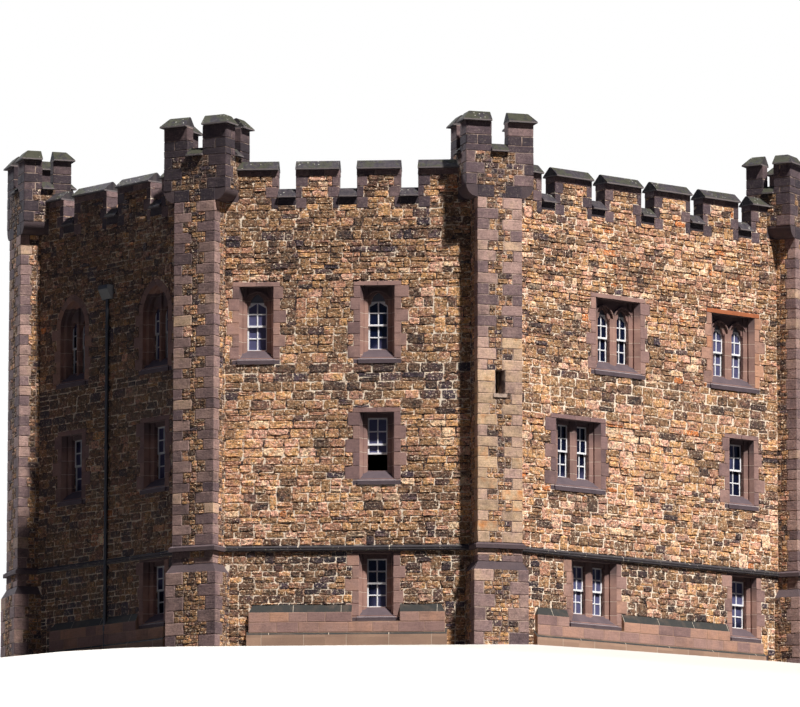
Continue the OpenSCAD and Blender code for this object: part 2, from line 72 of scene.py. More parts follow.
# Plan of the keep, from the frame
SIDES = ("front", "front_right", "right", "back_right", "back", "back_left", "left", "front_left")
CORNERS = ("front_left_corner", "front_right_corner", "right_front_corner", "right_back_corner",
           "back_right_corner", "back_left_corner", "left_back_corner", "left_front_corner")
MITRE = math.tan(math.radians(22.5))
FRONT, RIGHT, BACK, LEFT = (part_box(side + "_wall") for side in ("front", "right", "back", "left"))
CORNER_POINTS = [
    Vector((FRONT[0].x, FRONT[0].y)), Vector((FRONT[1].x, FRONT[0].y)),
    Vector((RIGHT[1].x, RIGHT[0].y)), Vector((RIGHT[1].x, RIGHT[1].y)),
    Vector((BACK[1].x, BACK[1].y)), Vector((BACK[0].x, BACK[1].y)),
    Vector((LEFT[0].x, LEFT[1].y)), Vector((LEFT[0].x, LEFT[0].y)),
]

# Heights above the ground, from the frame
WALL_TOP = FRONT[1].z
ROOF_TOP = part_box("roof_deck")[1].z
EMBRASURE_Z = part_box("embrasure_copings")[0].z
MERLON_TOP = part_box("merlon_copings")[0].z
STRING_Z = [corner.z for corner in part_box("string_course")]
PLINTH_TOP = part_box("plinth_course")[1].z
CORBEL_Z, TURRET_TOP = (corner.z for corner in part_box("front_left_corner_turret"))

# Sizes of the buttresses, turrets, parapets and plinth, in metres
PARAPET = 0.42
SHAFT_HALF, SHAFT_OUT = 0.675, 0.35
BASE_HALF, BASE_OUT = 0.825, 0.47
BASE_Z, BASE_TOP = 2.21, 2.45
TURRET_HALF, TURRET_DEPTH, TURRET_WALL = 1.03, 1.45, 0.33
TURRET_Z, TURRET_SILL = 13.5, 14.5
TURRET_GAP, TURRET_SIDE_GAP = 0.52, 0.36
# Half the room between a turret's corbels, and the bed joints of its merlons above their sill
CORBEL_GAP, TURRET_BEDS = 0.19, (0.20, 0.48)
# The two buttresses that have a slit
SLIT_CORNERS, SLIT_HALF, SLIT_Z = (1, 5), 0.15, (7.36, 8.05)
# How many whole merlons a wall has, and their length. Opposite walls are alike.
MERLONS = ((2, 1.27), (4, 1.45), (1, 1.30), (2, 1.60))
MERLON_GAP = 0.53
# Heights of the merlons' top course, of the slabs in the embrasures and of the lead turned up at the parapets
CAP, SLAB, UPSTAND = 0.17, 0.22, 0.15
PLINTH_IN, PLINTH_OUT, PLINTH_SLOPE, PLINTH_COURSE, LEDGE_TOP = 1.49, 0.12, 0.23, 0.29, 0.44
# A level above the whole keep
ABOVE_ALL = 99.0

# Windows: storey, distance of the middle from the wall's left corner, kind. Opposite walls are alike.
GROUND, FIRST, SECOND = range(3)
SINGLE, DOUBLE, ARCHED = range(3)
WINDOWS = (
    ((SECOND, 1.66, SINGLE), (SECOND, 5.22, SINGLE), (FIRST, 5.21, SINGLE), (GROUND, 5.20, SINGLE)),
    ((SECOND, 4.79, DOUBLE), (SECOND, 9.45, DOUBLE), (FIRST, 3.20, DOUBLE), (FIRST, 9.77, SINGLE),
     (GROUND, 3.80, DOUBLE), (GROUND, 9.84, SINGLE)),
    ((SECOND, 2.80, SINGLE), (FIRST, 2.80, SINGLE), (GROUND, 2.80, SINGLE)),
    ((SECOND, 2.36, ARCHED), (SECOND, 6.39, ARCHED), (FIRST, 2.36, SINGLE), (FIRST, 6.39, SINGLE),
     (GROUND, 6.39, SINGLE)),
)
# The one window with an orange lintel: its wall and its place in the wall's list
ORANGE_LINTEL = (1, 1)
# By kind: width of the opening, width of a light, distance between the middles of two lights
OPENING_WIDTH = (1.00, 1.77, 1.20)
LIGHT_WIDTH = (0.58, 0.47, 0.40)
LIGHT_PITCH = (0.0, 0.75, 0.50)
# By storey: levels of the sill and of the head
SILL_Z = (0.95, 4.95, 8.52)
HEAD_Z = (2.76, 6.90, 10.64)
ARCH_Z, ARCH_RISE = 10.15, 0.80
# Dressed stone: its width beside the opening, how far the sill goes down and its arris lies below SILL_Z, how
# far above it the sashes start, the height of a lintel, and how deep in the wall the sashes stand
JAMB, SILL_DROP, SILL_EDGE, SILL_RISE, LINTEL, STONE_DEPTH = 0.20, 0.18, 0.06, 0.26, 0.13, 0.34
# How far below the head the glass of a second floor window and any other light end, and how far above its
# springing an arched light does
GLASS_DROP, LIGHT_DROP, LIGHT_RISE = 0.44, 0.13, 0.20
# Where the blinds are down behind the front wall's left window
BLINDS_X = (-4.8, -3.0)
SASH_DEPTH, STILE, SASH_LAP, RAISED = 0.045, 0.055, 0.015, 0.51

# How a stretch of rubble is laid: heights and lengths of the stones, their lowest, usual and highest tone,
# the share that is sooty, how far they stand out, and the shares that fill two courses or are split in two
Look = namedtuple("Look", "heights lengths tones soot proud jump split")
BASE_RUBBLE = Look((0.16, 0.24), (0.22, 0.50), (0.02, 0.36, 0.85), 0.30, 0.014, 0.05, 0.12)
LOW_RUBBLE = Look((0.15, 0.26), (0.20, 0.60), (0.06, 0.56, 0.98), 0.10, 0.018, 0.10, 0.25)
LARGE_RUBBLE = Look((0.22, 0.30), (0.30, 0.70), (0.16, 0.64, 0.96), 0.08, 0.015, 0.06, 0.16)
DARK_BLOCKS = Look((0.24, 0.30), (0.36, 0.70), (0.06, 0.40, 0.85), 0.24, 0.012, 0.05, 0.12)
MIDDLE_RUBBLE = Look((0.17, 0.26), (0.22, 0.56), (0.06, 0.54, 0.98), 0.12, 0.017, 0.10, 0.24)
THIN_RUBBLE = Look((0.12, 0.21), (0.18, 0.56), (0.06, 0.56, 0.98), 0.12, 0.019, 0.10, 0.24)
FACED_RUBBLE = Look((0.19, 0.31), (0.24, 0.50), (0.22, 0.52, 0.84), 0.10, 0.011, 0.10, 0.16)
SQUARED_COURSES = Look((0.20, 0.30), (0.24, 0.55), (0.10, 0.46, 0.78), 0.24, 0.012, 0.04, 0.10)
FILLING = Look((0.10, 0.17), (0.14, 0.34), (0.10, 0.44, 0.85), 0.22, 0.012, 0.0, 0.0)
TURRET_FILLING = Look((0.10, 0.17), (0.14, 0.34), (0.03, 0.28, 0.68), 0.40, 0.012, 0.0, 0.0)
# The longest stone that may fill two courses, and the lowest that may be split
LONGEST_JUMP, LOWEST_SPLIT = 0.45, 0.16
# Level at which each band of rubble starts, and its look: for most walls, then for the front and back walls
BANDS = ((0.0, BASE_RUBBLE), (3.0, LOW_RUBBLE), (5.15, LARGE_RUBBLE), (7.0, DARK_BLOCKS),
         (8.35, MIDDLE_RUBBLE), (10.8, THIN_RUBBLE), (14.2, None))
FRONT_BANDS = (*BANDS[:4], (8.35, FACED_RUBBLE), (10.8, THIN_RUBBLE), (12.0, SQUARED_COURSES), (14.2, None))
# Heights at which most of the mortar is pale
PALE_BANDS = ((0.0, 2.8), (3.0, 5.2), (7.0, 8.4))


def srgb(red, green, blue):
    """A colour written as it shows on a screen, from 0 to 255, as Blender's linear colour."""
    def linear(value):
        value /= 255
        return value / 12.92 if value <= 0.04045 else ((value + 0.055) / 1.055) ** 2.4
    return (linear(red), linear(green), linear(blue), 1.0)


# Settings
class KeepMasonry(bpy.types.PropertyGroup):
    joint: FloatProperty(name="Rubble Joint", description="Width of the mortar joints of the rubble",
                         default=0.022, unit="LENGTH")
    fine_joint: FloatProperty(name="Ashlar Joint", description="Width of the joints of the dressed blocks",
                              default=0.016, unit="LENGTH")
    ashlar_proud: FloatProperty(name="Ashlar Stand", description="How far the dressed blocks stand out",
                                default=0.010, unit="LENGTH")
    wear: FloatProperty(name="Wear", description="How far wear has moved a rough stone's faces",
                        default=0.014, unit="LENGTH")
    wave: FloatProperty(name="Wave", description="How far a course of rubble strays from level",
                        default=0.030, unit="LENGTH")
    seed: IntProperty(name="Seed", description="Picks the stones' sizes and tones", default=7)


class KeepColours(bpy.types.PropertyGroup):
    mortar: FloatVectorProperty(name="Mortar", description="Pale lime mortar", subtype="COLOR", size=4,
                                default=srgb(250, 232, 210))
    # Also the colour of painted shade: on the walls and turrets that see little sun, and on the slabs under
    # the embrasure copings
    soot: FloatVectorProperty(name="Soot", description="Purple-grey crust on old sandstone", subtype="COLOR",
                              size=4, default=srgb(44, 35, 41))
    dressed: FloatVectorProperty(name="Dressed Stone", description="Pinkish stone of the windows",
                                 subtype="COLOR", size=4, default=srgb(150, 114, 104))
    coping: FloatVectorProperty(name="Coping", description="Weathered stone of the copings", subtype="COLOR",
                                size=4, default=srgb(48, 43, 51))
    moss: FloatVectorProperty(name="Moss", description="Moss on the copings", subtype="COLOR", size=4,
                              default=srgb(66, 68, 44))
    paint: FloatVectorProperty(name="Paint", description="Paint of the sashes", subtype="COLOR", size=4,
                               default=srgb(246, 246, 248))
    # Painted shade: the panes are dark for the unlit rooms behind them
    glass: FloatVectorProperty(name="Glass", description="Panes with a dark room behind them",
                               subtype="COLOR", size=4, default=srgb(16, 22, 46))
    lead: FloatVectorProperty(name="Lead", description="Sheet lead of the roof", subtype="COLOR", size=4,
                              default=srgb(102, 106, 112))


class KeepStage(bpy.types.PropertyGroup):
    lens: FloatProperty(name="Lens", description="Focal length of the camera in millimetres", default=291.07)
    camera: FloatVectorProperty(name="Camera", description="Place of the camera", subtype="TRANSLATION",
                                unit="LENGTH", default=(16.219, -196.242, -18.376))
    yaw: FloatProperty(name="Yaw", description="Turn of the camera to the left", subtype="ANGLE",
                       default=math.radians(4.8871))
    pitch: FloatProperty(name="Pitch", description="Tilt of the camera upwards", subtype="ANGLE",
                         default=math.radians(8.2196))
    roll: FloatProperty(name="Roll", description="Roll of the camera", subtype="ANGLE",
                        default=math.radians(0.0847))
    sun: FloatProperty(name="Sun", description="Strength of the main light", default=6.5)
    sun_turn: FloatProperty(name="Sun Turn", description="The main light's angle to the right of the front",
                            subtype="ANGLE", default=math.radians(46))
    sun_height: FloatProperty(name="Sun Height", description="The main light's angle above the horizon",
                              subtype="ANGLE", default=math.radians(57.5))
    softness: FloatProperty(name="Softness", description="Angle across the main light", subtype="ANGLE",
                            default=math.radians(3))
    fill: FloatProperty(name="Fill", description="Strength of the light from all round", default=0.035)
    back_light: FloatProperty(name="Back Light", description="Strength of the lamp behind the keep",
                              default=2.6)
    back_height: FloatProperty(name="Back Height", description="The back lamp's angle above the horizon",
                               subtype="ANGLE", default=math.radians(38))
    back_softness: FloatProperty(name="Back Softness", description="Angle across the back lamp",
                                 subtype="ANGLE", default=math.radians(12))


# Nodes
class Wire:
    """An output socket of a node, with arithmetic that adds the Math nodes it needs."""

    def __init__(self, nodes, socket):
        self.nodes = nodes
        self.socket = socket

    def __add__(self, other):
        return self.nodes.math("ADD", self, other)

    def __radd__(self, other):
        return self.nodes.math("ADD", other, self)

    def __sub__(self, other):
        return self.nodes.math("SUBTRACT", self, other)

    def __rsub__(self, other):
        return self.nodes.math("SUBTRACT", other, self)

    def __mul__(self, other):
        return self.nodes.math("MULTIPLY", self, other)

    def __rmul__(self, other):
        return self.nodes.math("MULTIPLY", other, self)

    def __truediv__(self, other):
        return self.nodes.math("DIVIDE", self, other)

    def __rtruediv__(self, other):
        return self.nodes.math("DIVIDE", other, self)

    def __gt__(self, other):
        return self.nodes.math("GREATER_THAN", self, other)

    def __lt__(self, other):
        return self.nodes.math("LESS_THAN", self, other)


class Nodes:
    """Adds nodes to a tree. A value may be a number, a colour, a datablock or a Wire."""

    def __init__(self, tree):
        self.tree = tree

    def new(self, kind, settings=None, values=None, out=0):
        """A node of any kind, with its settings and what its sockets hold. Gives the output named by out."""
        node = self.tree.nodes.new(kind)
        for name, value in (settings or {}).items():
            if name == "stops":
                self.set_stops(node.color_ramp, value)
            else:
                setattr(node, name, value)
        for key, value in (values or {}).items():
            if isinstance(value, Wire):
                self.tree.links.new(value.socket, node.inputs[key])
            elif value is not None:
                node.inputs[key].default_value = value
        if not node.outputs:
            return node
        return Wire(self, node.outputs[out])

    @staticmethod
    def set_stops(ramp, stops):
        while len(ramp.elements) < len(stops):
            ramp.elements.new(1.0)
        for element, (place, colour) in zip(ramp.elements, stops):
            element.position = place
            element.color = colour

    def math(self, operation, a, b=None, clamp=False):
        return self.new("ShaderNodeMath", {"operation": operation, "use_clamp": clamp}, {0: a, 1: b})

    def clamp(self, wire):
        return self.math("ADD", wire, 0.0, clamp=True)

    def step(self, wire, low, high):
        """0 below low and 1 above high, smooth between; the other way round where high is below low."""
        return self.new("ShaderNodeMapRange", {"interpolation_type": "SMOOTHSTEP"},
                        {"Value": wire, "From Min": low, "From Max": high})

    def mix(self, share, a, b, blend="MIX"):
        settings = {"data_type": "RGBA", "blend_type": blend}
        return self.new("ShaderNodeMix", settings, {0: share, 6: a, 7: b}, out=2)

    def shade(self, colour, wire):
        """A colour times a number that varies over the surface."""
        return self.mix(1.0, colour, wire, "MULTIPLY")

    def vector(self, operation, a, b=None):
        return self.new("ShaderNodeVectorMath", {"operation": operation}, {0: a, 1: b})

    def ramp(self, wire, stops):
        return self.new("ShaderNodeValToRGB", {"stops": stops}, {"Fac": wire})

    def noise(self, vector, scale, detail=3.0, roughness=0.55, out=0):
        return self.new("ShaderNodeTexNoise", None, {"Vector": vector, "Scale": scale, "Detail": detail,
                                                     "Roughness": roughness}, out)

    def random(self, vector):
        """A random number for each whole-numbered vector."""
        return self.new("ShaderNodeTexWhiteNoise", {"noise_dimensions": "3D"}, {"Vector": vector})

    def place(self):
        return self.new("ShaderNodeTexCoord", out="Object")

    def split(self, vector):
        parts = self.new("ShaderNodeSeparateXYZ", None, {0: vector}).socket.node.outputs
        return [Wire(self, part) for part in parts]

    def join(self, x, y, z):
        return self.new("ShaderNodeCombineXYZ", None, {0: x, 1: y, 2: z})

    def attribute(self, name):
        return self.new("ShaderNodeAttribute", {"attribute_name": name}, out="Fac")

    def facing(self):
        """The three parts of the direction that the surface faces."""
        return self.split(self.new("ShaderNodeNewGeometry", out="True Normal"))

    def seen_by(self, *kinds):
        """1 for rays of these kinds, and 0 for others."""
        path = self.new("ShaderNodeLightPath").socket.node.outputs
        return self.clamp(sum((Wire(self, path[f"Is {kind} Ray"]) for kind in kinds), 0.0))

    def along_wall(self):
        """Distance along whichever upright face the point lies on."""
        x, y, _ = self.split(self.place())
        nx, ny, _ = self.facing()
        return y * nx - x * ny

    def line(self, wire, pitch, width):
        """1 on thin lines every pitch metres, and 0 between them."""
        return self.math("PINGPONG", wire, pitch / 2) < width / 2

    def surface(self, colour, roughness, height=None, depth=0.01, **fixed):
        """The finished surface: height is in units of depth metres."""
        values = {"Base Color": colour, "Roughness": roughness, **fixed}
        if height is not None:
            values["Normal"] = self.new("ShaderNodeBump", None, {"Height": height, "Distance": depth,
                                                                 "Strength": 1.0})
        shader = self.new("ShaderNodeBsdfPrincipled", None, values)
        self.new("ShaderNodeOutputMaterial", None, {"Surface": shader})


def finish_material(name, build):
    """A new material made by the function build, which gets the material's nodes and the keep's colours."""
    material = bpy.data.materials.new(name)
    material.use_nodes = True
    material.node_tree.nodes.clear()
    build(Nodes(material.node_tree), bpy.context.scene.keep_colours)
    return material


# Materials
def scale_of(*stops):
    """Colours along a scale from 0 to 1. A stop is its place, then its red, green and blue."""
    return [(place, srgb(*colour)) for place, *colour in stops]


SANDSTONE = scale_of(
    (0.00, 48, 38, 48), (0.13, 84, 67, 76), (0.26, 108, 78, 62), (0.38, 144, 108, 80), (0.50, 174, 131, 90),
    (0.60, 184, 131, 108), (0.70, 214, 162, 106), (0.80, 216, 159, 138), (0.90, 248, 212, 172),
    (1.00, 204, 122, 68))
ASHLAR = scale_of(
    (0.00, 50, 42, 50), (0.25, 88, 72, 78), (0.50, 134, 109, 108), (0.75, 180, 147, 136),
    (0.92, 204, 172, 138), (1.00, 206, 138, 84))
PINK_STONE = scale_of(
    (0.00, 84, 68, 74), (0.35, 126, 99, 98), (0.65, 162, 128, 118), (0.90, 190, 142, 114),
    (1.00, 168, 98, 62))


def stone_surface(nodes, colours, ramp, crust_size, rough):
    """A stone's own tone, blackened where it is old and, as painted shade, on the walls and turrets that see
    little sun, with bedding lines and a sandy grain. Rough stone also has broken faces, with hollows darkened
    as painted shade and pale flecks, partly lime and partly painted glints: rough is 1 on stone as quarried
    and near 0 on smooth blocks."""
    place = nodes.place()
    soot = nodes.attribute("soot")
    cloud = nodes.noise(place, 3.1, 4.0)
    play = 0.20 + 0.25 * rough
    colour = nodes.ramp(nodes.clamp(nodes.attribute("tone") + (cloud - 0.5) * play), ramp)
    # Painted shade as well as age: the dark coat follows the stone's attribute, raised on the walls and
    # turrets that see little sun
    crust_and_shade = nodes.clamp(soot * 0.9 + (nodes.noise(place, crust_size, 5.0, 0.7) - 0.5) * 1.5 - 0.10)
    colour = nodes.mix(crust_and_shade, colour, colours.soot)
    x, y, z = nodes.split(place)
    bedding = nodes.noise(nodes.join(x * 3.0, y * 3.0, z * 34.0), 1.0, 2.0)
    broken = nodes.noise(place, 13.0, 4.0, 0.65)
    grain = nodes.noise(place, 30.0, 4.0, 0.75)
    weather = nodes.noise(place, 0.45, 3.0)
    # Painted shade in the hollows of broken faces
    pit_shade = nodes.clamp(nodes.step(broken, 0.30, 0.54) * (0.92 * rough) + (1.0 - 0.92 * rough))
    # Pale flecks: partly lime left on the stone, partly painted glints
    flecks = nodes.step(nodes.noise(place, 15.0, 3.0, 0.7), 0.55, 0.64) * (0.75 * rough * rough)
    colour = nodes.mix(flecks * (1.0 - crust_and_shade * 0.75), colour, srgb(246, 226, 198))
    uneven = (bedding - 0.5) * 1.1 + (grain - 0.5) * 1.7 + (weather - 0.5) * 0.8
    colour = nodes.shade(colour, pit_shade * (1.16 + uneven * (0.35 + 1.10 * rough)))
    height = grain * 0.4 + bedding * 0.5 + broken * (0.3 + 2.0 * rough)
    nodes.surface(colour, 0.86 + grain * 0.12, height, 0.004 + 0.012 * rough)


def rubble_sandstone(nodes, colours):
    """Golden, brown and pinkish sandstone as it was quarried."""
    stone_surface(nodes, colours, SANDSTONE, 6.0, 1.0)


def dressed_sandstone(nodes, colours):
    """Squared sandstone, purple-grey to pinkish."""
    stone_surface(nodes, colours, ASHLAR, 2.5, 0.35)


def smooth_sandstone(nodes, colours):
    """Smooth pinkish blocks round the windows and in the plinth."""
    stone_surface(nodes, colours, PINK_STONE, 2.0, 0.12)


def wall_mortar(nodes, colours):
    """Lime mortar in patches: pale where it was pointed again, sandy elsewhere, and dark where it has gone,
    the dark being painted shade in the empty joint.
    """
    place = nodes.place()
    _, _, z = nodes.split(place)
    patches = nodes.noise(place, 4.5, 4.0, 0.65)
    for low, high in PALE_BANDS:
        patches = patches + between(nodes, z, low, high) * 0.05
    grain = nodes.noise(place, 45.0, 4.0, 0.7)
    # Dark patches: mortar gone, painted dark as the shade in the empty joint
    colour = nodes.mix(nodes.step(patches, 0.44, 0.50), srgb(50, 36, 36), srgb(178, 138, 112))
    colour = nodes.mix(nodes.step(patches, 0.51, 0.57), colour, colours.mortar)
    colour = nodes.shade(colour, 0.76 + grain * 0.5)
    nodes.surface(colour, 0.92, grain, 0.012)


def block_tones(nodes, colour, along, up, spread):
    """A colour that differs from block to block."""
    cell = nodes.join(nodes.math("FLOOR", along), nodes.math("FLOOR", up), 0.0)
    return nodes.shade(colour, 1.0 - spread / 2 + nodes.random(cell) * spread)


def between(nodes, z, low, high):
    """1 between two levels, and 0 above and below them."""
    return (z > low) * (z < high)


def window_stone(nodes, colours):
    """Dressed stone in blocks, each a little different, slate-purple on its sills, whose arris is pale, and
    darkened towards each head as painted shade.
    """
    place = nodes.place()
    x, y, z = nodes.split(place)
    _, _, up = nodes.facing()
    cloud = nodes.noise(place, 3.0, 4.0)
    grain = nodes.noise(place, 70.0, 3.0, 0.7)
    colour = nodes.mix(nodes.step(cloud, 0.3, 0.75), colours.dressed, srgb(172, 134, 120))
    colour = block_tones(nodes, colour, (x + y) / 2.3, z / 0.41, 0.34)
    colour = nodes.mix(between(nodes, z, 4.8, 7.4) * 0.22, colour, srgb(84, 74, 84))
    upright = up < 0.3
    joint = nodes.line(z, 0.41, 0.010) * upright
    colour = nodes.mix(joint * 0.7, colour, colours.mortar)
    sill_face = sum((between(nodes, z, sill - SILL_DROP - 0.002, sill - SILL_EDGE) for sill in SILL_Z), 0.0)
    sill = nodes.clamp(nodes.step(up, 0.2, 0.5) + sill_face)
    colour = nodes.mix(sill * 0.92, colour, nodes.mix(cloud, srgb(52, 44, 54), srgb(88, 76, 84)))
    arris = sum((between(nodes, z, sill - SILL_EDGE, sill - SILL_EDGE + 0.016) for sill in SILL_Z), 0.0)
    colour = nodes.mix(arris * 0.6, colour, srgb(180, 166, 166))
    # Painted shade: darker towards each head, where the lintel's shadow falls
    crust_and_shade = sum((nodes.step(z, head - 0.8, head - 0.1) * (z < head + 0.1) for head in HEAD_Z), 0.0)
    colour = nodes.mix(crust_and_shade * 0.8, colour, srgb(44, 36, 46))
    colour = nodes.shade(colour, 0.80 + grain * 0.24 + nodes.noise(place, 9.0, 3.0) * 0.18)
    nodes.surface(colour, 0.84, grain * 0.6 - joint * 1.0, 0.006)


def course_stone(nodes, colours):
    """Long dark slabs of the string course and the weatherings, with joints along the wall."""
    place = nodes.place()
    _, _, z = nodes.split(place)
    along = nodes.along_wall()
    grain = nodes.noise(place, 50.0, 4.0, 0.7)
    colour = nodes.mix(nodes.noise(place, 2.0, 4.0), srgb(36, 32, 37), srgb(66, 59, 62))
    colour = block_tones(nodes, colour, along / 0.74, z / 3.0, 0.36)
    lichen = nodes.step(nodes.noise(place, 11.0, 3.0, 0.6), 0.62, 0.70)
    colour = nodes.mix(lichen * 0.5, colour, srgb(150, 150, 124))
    joint = nodes.line(along, 1.48, 0.014)
    colour = nodes.mix(joint * 0.6, colour, colours.mortar)
    colour = nodes.shade(colour, 0.74 + grain * 0.5)
    nodes.surface(colour, 0.86, grain * 0.8 - joint, 0.008)


def plinth_stone(nodes, colours):
    """Smooth pinkish slabs of the plinth, grey-green on the slopes that catch the rain."""
    place = nodes.place()
    _, _, z = nodes.split(place)
    _, _, up = nodes.facing()
    along = nodes.along_wall()
    grain = nodes.noise(place, 55.0, 4.0, 0.7)
    colour = nodes.mix(nodes.noise(place, 1.4, 4.0), srgb(150, 118, 102), srgb(186, 152, 128))
    colour = block_tones(nodes, colour, along / 0.62, z / 0.3, 0.30)
    wet = nodes.clamp(nodes.step(up, 0.15, 0.4) * (0.70 + nodes.noise(place, 3.0, 3.0) * 0.6))
    colour = nodes.mix(wet, colour, srgb(46, 46, 44))
    joint = nodes.line(along, 1.24, 0.014)
    colour = nodes.mix(joint * 0.5, colour, colours.mortar)
    colour = nodes.shade(colour, 0.78 + grain * 0.44)
    nodes.surface(colour, 0.86, grain * 0.8 - joint, 0.008)


def coping_surface(nodes, colours, moss_reach):
    """Purple-grey stone streaked by rain, with moss and spots of pale lichen, a paler band along its lower
    edge that is a painted highlight, and darker undersides that are painted shade. moss_reach is how much of
    it the moss takes."""
    place = nodes.place()
    x, y, z = nodes.split(place)
    _, _, up = nodes.facing()
    streaks = nodes.noise(nodes.join(x * 9.0, y * 9.0, z * 1.2), 1.0, 4.0, 0.65)
    drift = nodes.noise(place, 1.7, 5.0, 0.62)
    grain = nodes.noise(place, 46.0, 4.0, 0.7)
    colour = nodes.mix(nodes.step(streaks, 0.35, 0.7), colours.coping, srgb(86, 77, 82))
    edge = 0.62 - 0.22 * moss_reach
    moss = nodes.step(drift + (streaks - 0.5) * 0.9, edge - 0.08, edge + 0.08) * nodes.step(up, -0.2, 0.4)
    colour = nodes.mix(moss * 0.75, colour, colours.moss)
    spots = nodes.new("ShaderNodeTexVoronoi", {"feature": "F1"}, {"Vector": place, "Scale": 9.0}, "Distance")
    lichen = nodes.step(spots + (nodes.noise(place, 30.0) - 0.5) * 0.25, 0.24, 0.16)
    lichen = lichen * (nodes.noise(place, 1.1, 2.0) > 0.54)
    colour = nodes.mix(lichen * 0.75, colour, srgb(196, 194, 184))
    beds = (MERLON_TOP, EMBRASURE_Z, TURRET_TOP, TURRET_SILL)
    # Painted highlight: a paler band on the upright faces just above each bed, where the edge catches the
    # light
    drip_highlight = sum((between(nodes, z, bed + 0.002, bed + 0.042) for bed in beds), 0.0) * (up < 0.2)
    colour = nodes.mix(drip_highlight * 0.6, colour, srgb(158, 146, 146))
    # Painted shade: faces that look down are darker
    colour = nodes.mix(nodes.step(up, -0.3, -0.8) * 0.7, colour, srgb(54, 47, 52))
    colour = nodes.shade(colour, 0.46 + grain * 0.5 + streaks * 0.16)
    height = grain * 0.6 + moss * nodes.noise(place, 24.0, 3.0) * 1.4 + lichen * 0.5
    nodes.surface(colour, 0.9, height, 0.012)


def wall_coping(nodes, colours):
    """Copings of the merlons, with a little moss."""
    coping_surface(nodes, colours, 0.45)


def turret_coping(nodes, colours):
    """Copings of the turrets, greener than the others."""
    coping_surface(nodes, colours, 0.85)


def dark_coping(nodes, colours):
    """Purple slabs in the embrasures, with hardly any moss."""
    coping_surface(nodes, colours, 0.1)


def corner_masonry(nodes, colours):
    """What shows between the blocks of the buttresses and turrets: mortar, and dark stone on the weathered
    slopes and the band, and on the corbels, where the dark is also painted shade under the turrets."""
    place = nodes.place()
    _, _, z = nodes.split(place)
    _, _, up = nodes.facing()
    grain = nodes.noise(place, 45.0, 4.0, 0.7)
    patches = nodes.step(nodes.noise(place, 3.2, 4.0), 0.40, 0.60)
    mortar = nodes.mix(patches, srgb(190, 166, 150), srgb(104, 84, 80))
    dark = nodes.mix(nodes.noise(place, 2.4, 4.0), srgb(58, 48, 56), srgb(104, 86, 86))
    # The corbels are dark stone and also painted shade under the turrets
    corbel = between(nodes, z, CORBEL_Z - 0.01, TURRET_Z + 0.005)
    band = between(nodes, z, STRING_Z[0] - 0.01, STRING_Z[1] + 0.01)
    slope = between(nodes, z, BASE_Z - 0.01, BASE_TOP + 0.01)
    stone = nodes.clamp(corbel + band + slope + nodes.step(up, 0.3, 0.7))
    colour = nodes.shade(nodes.mix(stone, mortar, dark), 0.74 + grain * 0.5)
    nodes.surface(colour, 0.9, grain, 0.010)


def white_paint(nodes, colours):
    """Brushed white paint, a little uneven in tone, and black above the top of the second floor glass, painted
    shade in the heads under the tracery.
    """
    place = nodes.place()
    x, y, z = nodes.split(place)
    brush = nodes.noise(nodes.join(x * 90.0, y * 90.0, z * 12.0), 1.0, 2.0)
    colour = nodes.shade(colours.paint, 0.90 + nodes.noise(place, 4.0, 3.0) * 0.16)
    # Painted shade: black above the top of the second floor glass, under the heads
    head = HEAD_Z[SECOND] - GLASS_DROP
    colour = nodes.mix(nodes.step(z, head - 0.01, head + 0.02) * 0.96, colour, srgb(34, 30, 38))
    nodes.surface(colour, 0.42 + brush * 0.12, brush, 0.0015)


def window_glass(nodes, colours):
    """Old glass, slightly wavy, over a dark room, its dark colour painted shade of the room, and in some
    windows over pale blinds.
    """
    place = nodes.place()
    waves = nodes.noise(place, 3.2, 1.5)
    x, y, z = nodes.split(place)
    blinds = between(nodes, x, *BLINDS_X) * (y < 0.0) * (z > HEAD_Z[FIRST])
    pale = nodes.clamp(nodes.step(nodes.noise(place, 0.21, 0.0), 0.50, 0.56) + blinds)
    colour = nodes.mix(pale * 0.85, colours.glass, srgb(98, 98, 134))
    colour = nodes.shade(colour, 0.7 + nodes.noise(place, 1.3, 2.0) * 0.7)
    nodes.surface(colour, 0.06 + waves * 0.03, waves, 0.004, **{"Alpha": 0.9, "Specular IOR Level": 0.25})


def sheet_lead(nodes, colours):
    """Dull grey lead with pale bloom and darker runs."""
    place = nodes.place()
    bloom = nodes.noise(place, 1.6, 5.0, 0.6)
    fine = nodes.noise(place, 22.0, 4.0, 0.6)
    colour = nodes.mix(nodes.step(bloom, 0.35, 0.7), colours.lead, srgb(136, 139, 140))
    colour = nodes.shade(colour, 0.70 + fine * 0.50)
    nodes.surface(colour, 0.72 + fine * 0.2, fine + bloom, 0.008, Metallic=0.1)


def black_iron(nodes, colours):
    """Black paint on cast iron, with a trace of rust."""
    place = nodes.place()
    pitting = nodes.noise(place, 40.0, 3.0)
    rust = nodes.step(nodes.noise(place, 5.0, 4.0, 0.65), 0.64, 0.74)
    colour = nodes.mix(rust * 0.5, srgb(26, 26, 30), srgb(84, 52, 38))
    nodes.surface(colour, 0.44 + pitting * 0.2, pitting, 0.002)


def floor_boards(nodes, colours):
    """Plain brown boards, each with its own tone and grain."""
    place = nodes.place()
    x, y, _ = nodes.split(place)
    board = nodes.math("FLOOR", y / 0.18)
    tone = nodes.random(nodes.join(board, nodes.math("FLOOR", x / 3.0 + board * 0.37), 0.0))
    grain = nodes.noise(nodes.join(x * 2.0, y * 26.0, board), 1.0, 3.0)
    gap = nodes.line(y, 0.18, 0.006)
    colour = nodes.mix(grain, srgb(104, 76, 54), srgb(142, 108, 78))
    colour = nodes.shade(colour, (0.78 + tone * 0.36) * (1.0 - gap * 0.7))
    nodes.surface(colour, 0.6 + grain * 0.1, grain * 0.3 - gap, 0.003)


